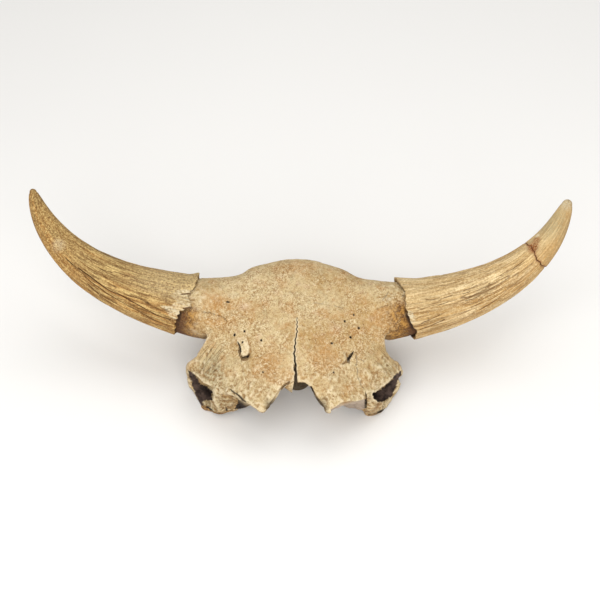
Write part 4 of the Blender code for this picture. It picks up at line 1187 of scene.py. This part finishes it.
def sheath(name, horn, rim, flaked, grooves, crack=None):
    """A hollow horn: up the inside, over the ragged rim and along the outside to its end."""
    counts = ((22, 5, 196, 7))
    rows, columns = sum(counts), 400

    def place(part, turn):
        row = np.round(part * rows)
        inner, over, outer, shut = stages(row, counts)
        edge = around_horn(turn, rim)
        edge = edge + 0.003 * rough(fibre_place(horn, edge, turn, 1), 0.004, 81, 2)
        end = np.full(len(part), horn["worn"]) if crack is None else around_horn(turn, crack) - CRACK_HALF
        within = CORE_END + (edge - CORE_END) * inner**0.8
        share = np.where(inner < 1, within, edge + (end - edge) * outer**1.12)
        lost, bare = rim_layers(horn, share, turn, flaked)
        groove = groove_depth(horn, share, turn, grooves)
        outside = horn_radius(horn, share) + fibres(horn, share, turn) - lost - groove
        around = np.degrees(turn)
        top = smooth(70, 40, around) + smooth(290, 330, around)
        foot = smooth(118, 135, around) * smooth(200, 175, around)
        outside = outside + RIM_FLARE * top * smooth(horn["flare"], 0, share - edge)
        rim_wall = RIM_WALL + (SHEATH_WALL - RIM_WALL) * np.maximum(0.85 * top, foot)
        wall = rim_wall + (SHEATH_WALL - rim_wall) * smooth(0, 0.10, share - edge)
        socket = (horn_radius(horn, share) - wall) * np.clip(inner * 3.5, 0, 1) ** 0.5
        radius = np.where(inner < 1, socket, socket + (outside - socket) * over)
        share = share - np.sin(over * math.pi) * EDGE_ROUND / horn["length"]
        if crack is None:
            radius = radius * np.cos(shut * math.pi / 2)
            share = share + np.sin(shut * math.pi / 2) * horn["tip"] / horn["length"]
        else:
            radius = (radius - EDGE_ROUND * smooth(0.985, 1, outer)) * (1 - shut)
            share = share + (np.mean(end) - share) * shut * (over > 0)
        radius = np.where((row == 0) | (row == rows), 0, radius)
        marks = horn_marks(horn, share, turn, crack)
        marks["inside"] = 1 - over
        marks["groove"] = groove * 1000
        marks["line"] = fibre_lines(horn, share, turn) * (1 - smooth(0.55, 0.90, share))
        marks["bare"] = bare
        return horn_place(horn, share, turn, radius), marks

    return rolled(name, rows, columns, place)


def horn_tip(name, horn, grooves, crack):
    """A solid horn tip, from the broken face that stands on the crack to its worn end."""
    counts = ((8, 90, 8))
    rows, columns = sum(counts), 260

    def place(part, turn):
        row = np.round(part * rows)
        face, outer, shut = stages(row, counts)
        edge = around_horn(turn, crack) + CRACK_HALF
        share = edge + (horn["worn"] - edge) * outer**1.05
        share = np.where(face < 1, np.mean(edge) + (edge - np.mean(edge)) * face, share)
        proud = TIP_PROUD * smooth(0.95, 0.80, share) * (0.4 - np.cos(turn)) / 1.4
        groove = groove_depth(horn, share, turn, grooves) * smooth(0.3, 0.9, face)
        radius = horn_radius(horn, share) + 0.4 * fibres(horn, share, turn) + proud - groove
        radius = (radius - EDGE_ROUND * smooth(0.02, 0, outer)) * face
        share = share + np.sin(shut * math.pi / 2) * horn["tip"] / horn["length"]
        radius = np.where((row == 0) | (row == rows), 0, radius * np.cos(shut * math.pi / 2))
        marks = horn_marks(horn, share, turn, crack)
        marks["groove"] = groove * 1000
        return horn_place(horn, share, turn, radius), marks

    return rolled(name, rows, columns, place)


# Dark soil in the grooves and fibre lines, and painted shade inside the sheaths.
HORN_SOIL_AND_SHADE = (0.085, 0.036, 0.010)
SPLIT_RED = (0.25, 0.080, 0.020)
SPLIT_DARK = (0.125, 0.040, 0.012)
FADED_HORN = (0.56, 0.435, 0.235)
BARE_HORN = (0.62, 0.520, 0.335)
# Painted shade on the right horn's near side.
HORN_SHADE_TAN = (0.40, 0.250, 0.090)
HORN_BUMP = 0.0015
# The base, warm, pale, dark, low and speck tones of each horn.
BROWN_TONES = (
    (0.405, 0.258, 0.092), (0.400, 0.225, 0.068), (0.66, 0.480, 0.195), (0.135, 0.058, 0.014),
    (0.46, 0.210, 0.045), (0.185, 0.092, 0.024),
)
TAN_TONES = (
    (0.630, 0.450, 0.210), (0.600, 0.395, 0.160), (0.86, 0.690, 0.405), (0.260, 0.132, 0.040),
    (0.52, 0.285, 0.080), (0.36, 0.220, 0.088),
)
# Stains on each horn, and painted shade on the right one's near side: a colour, its middle and reach in the
# row frame in metres, and its strength.
BROWN_STAINS = ((BARE_HORN, (-0.328, 0.066, 0.183), (0.014, 0.010, 0.03), 0.38),)
TAN_STAINS_AND_SHADE = (
    # Painted shade on the right horn's near side, near its base.
    (HORN_SHADE_TAN, (0.180, -0.010, 0.115), (0.055, 0.070, 0.09), 0.28),
    (OLIVE, (0.343, 0.090, 0.198), (0.032, 0.032, 0.05), 0.50),
    (BARE_HORN, (0.362, 0.110, 0.222), (0.014, 0.016, 0.03), 0.80),
    (SPLIT_RED, (0.3160, 0.066, 0.1785), (0.012, 0.012, 0.03), 0.85),
    (SPLIT_RED, (0.3216, 0.0755, 0.184), (0.007, 0.009, 0.03), 0.60),
    (CREAM, (0.3235, 0.082, 0.186), (0.004, 0.005, 0.03), 0.95),
)


def horn_paint(name, tones, streaks, grit, fade, stains):
    """Dry horn: long light and dark fibres over a base tone, browner low down, with soil in the grooves and
    painted shade inside the sheath.

    `streaks` is how strong the fibres show, `grit` how much the specks grow towards the tip, and
    `fade` how far the upper side has bleached near the head.
    """
    base, warm, pale, dark, low, speck = tones
    material, paint = new_paint(name)
    place = paint.node("ShaderNodeTexCoord", output=3)
    fibre = paint.mark("fibre", 1)
    cloud = place.speckle(0.035, 11, 3)
    broad = fibre.speckle(0.0095, 12)
    thread = fibre.speckle(0.0036, 13)
    hair = fibre.speckle(0.0020, 14)
    grain = place.speckle(0.0030, 15)
    dust = place.speckle(0.0016, 16)
    parted = fibre.speckle(0.0046, 17, 1).fine_lines(0.032)
    parted_fine = fibre.speckle(0.0026, 18, 1).fine_lines(0.040)
    along, split = paint.mark("along"), paint.mark("split")
    tip = along.slope(0.50, 0.80)
    shown = broad.slope(0.42, 0.58)
    calm = paint.mark("upper") * (1 - along.slope(0.22, 0.50))
    strong = streaks * (1 - 0.70 * tip) * (1 - fade * calm)
    coarse = grit * tip + 0.6 * fade * calm
    shade = cloud.slope(0.38, 0.62).blend(base, warm).over(
        (FADED_HORN, fade * calm),
        (low, 0.90 * paint.mark("low") * broad.slope(0.25, 0.55)),
        (pale, (0.45 - 0.30 * tip) * (1 - 0.7 * calm) * broad.slope(0.52, 0.66)),
        (low, (0.55 - 0.40 * tip) * (1 - broad).slope(0.52, 0.66) * (1 - 0.6 * calm)),
        (dark, strong * 0.74 * (1 - thread).slope(0.50, 0.62)),
        (pale, strong * 0.78 * thread.slope(0.51, 0.62)),
        (dark, strong * 0.60 * (1 - hair).slope(0.50, 0.64)),
        (pale, strong * 0.66 * hair.slope(0.52, 0.64)),
        (dark, strong * 0.72 * parted * (0.30 + 0.70 * shown)),
        (dark, strong * 0.60 * parted_fine * (1 - shown)),
        (speck, (0.42 + 0.30 * coarse) * (1 - grain).slope(0.50, 0.64)),
        (pale, (0.36 + 0.34 * coarse) * grain.slope(0.52, 0.66)),
        (speck, (0.44 + 0.30 * coarse) * (1 - dust).slope(0.50, 0.64)),
        (pale, (0.32 + 0.25 * coarse) * dust.slope(0.53, 0.66)),
    )
    for colour, middle, reach, strength in stains:
        shade = shade.over((colour, strength * place.stain(middle, reach) * (0.4 + dust.slope(0.40, 0.58))))
    bare = paint.mark("bare") * (0.20 + 0.60 * thread.slope(0.40, 0.60)) * (0.4 + grain.slope(0.35, 0.60))
    shade = shade.over(
        (BARE_HORN, bare),
        (HORN_SOIL_AND_SHADE, strong * 0.90 * paint.mark("line")),
        (SPLIT_RED, 0.8 * split * grain.slope(0.30, 0.60)),
        (SPLIT_DARK, 0.85 * split.slope(0.90, 0.99)),
        (HORN_SOIL_AND_SHADE, (paint.mark("groove") * 0.9).slope(0.05, 0.9)),
        # Painted shade inside the sheath.
        (HORN_SOIL_AND_SHADE, 0.9 * paint.mark("inside")),
    )
    height = thread * 0.8 + hair * 0.5 + grain * 0.3 + dust * 0.2 - parted * 0.3
    close_paint(paint, shade, 0.62 + 0.2 * thread, height, HORN_BUMP)
    return material


sheath_left = sheath("sheath_left", LEFT_HORN, LEFT_RIM, LEFT_FLAKED, LEFT_GROOVES)
sheath_right = sheath("sheath_right", RIGHT_HORN, RIGHT_RIM, RIGHT_FLAKED, RIGHT_GROOVES, TIP_CRACK)
tip_right = horn_tip("tip_right", RIGHT_HORN, TIP_GROOVES, TIP_CRACK)
brown_horn = horn_paint("brown_horn", BROWN_TONES, 1.0, 1.0, 0.80, BROWN_STAINS)
tan_horn = horn_paint("tan_horn", TAN_TONES, 0.82, -0.35, 0.35, TAN_STAINS_AND_SHADE)
for piece, node, paint, finish in (
    (sheath_left, "horn_sheath_left", brown_horn, "horn_brown"),
    (sheath_right, "horn_sheath_right", tan_horn, "horn_tan"),
    (tip_right, "horn_tip_right", tan_horn, "horn_tan"),
):
    rest_on_floor(piece)
    round_off(piece, HORN_CREASE)
    piece.data.materials.append(paint)
    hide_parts(node)
    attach(piece, "root")


# The studio: a plain pale floor under wide, soft light from above, and the camera looking
# down at the forehead from the front.

CAMERA_LENS = 75.37
SENSOR_WIDTH = 36
FLOOR_SIZE = 12
FLOOR_WHITE = (0.84, 0.83, 0.81)
FLOOR_GREY = (0.81, 0.80, 0.78)
FLOOR_ROUGHNESS = 0.9
FLOOR_BUMP = 0.0004
ROOM_WHITE = (1.0, 0.99, 0.975)
ROOM_LIGHT = 0.49
# Each lamp: its place, its side in metres and its power.
LAMPS = (((-0.5, -1.2, 2.3), 1.8, 28), ((0.4, 0.5, 2.2), 1.6, 18), ((0.1, -2.2, 1.2), 1.8, 33))

bpy.ops.object.select_all(action="DESELECT")
bpy.ops.mesh.primitive_plane_add(size=FLOOR_SIZE)
floor = bpy.context.object
floor.name = "floor"
floor_material, floor_paint = new_paint("pale_floor")
floor_place = floor_paint.node("ShaderNodeTexCoord", output=3)
floor_tone = floor_place.speckle(0.5, 31).blend(FLOOR_WHITE, FLOOR_GREY)
floor_grain = floor_place.speckle(0.004, 32)
close_paint(floor_paint, floor_tone, FLOOR_ROUGHNESS, floor_grain, FLOOR_BUMP, strength=0.2)
floor.data.materials.append(floor_material)

bpy.ops.object.camera_add(location=VIEWER, rotation=(VIEW_TILT, 0, 0))
camera = bpy.context.object
camera.data.lens = CAMERA_LENS
camera.data.sensor_width = SENSOR_WIDTH
bpy.context.scene.camera = camera

for place, side, power in LAMPS:
    bpy.ops.object.light_add(type="AREA", location=place)
    lamp = bpy.context.object
    lamp.rotation_euler = (-lamp.location).to_track_quat("-Z", "Y").to_euler()
    lamp.data.shape = "SQUARE"
    lamp.data.size = side
    lamp.data.energy = power

world = bpy.data.worlds.new("soft_white_room")
world.use_nodes = True
background = world.node_tree.nodes["Background"]
background.inputs["Color"].default_value = (*ROOM_WHITE, 1)
background.inputs["Strength"].default_value = ROOM_LIGHT
bpy.context.scene.world = world
bpy.context.scene.view_settings.view_transform = "Standard"
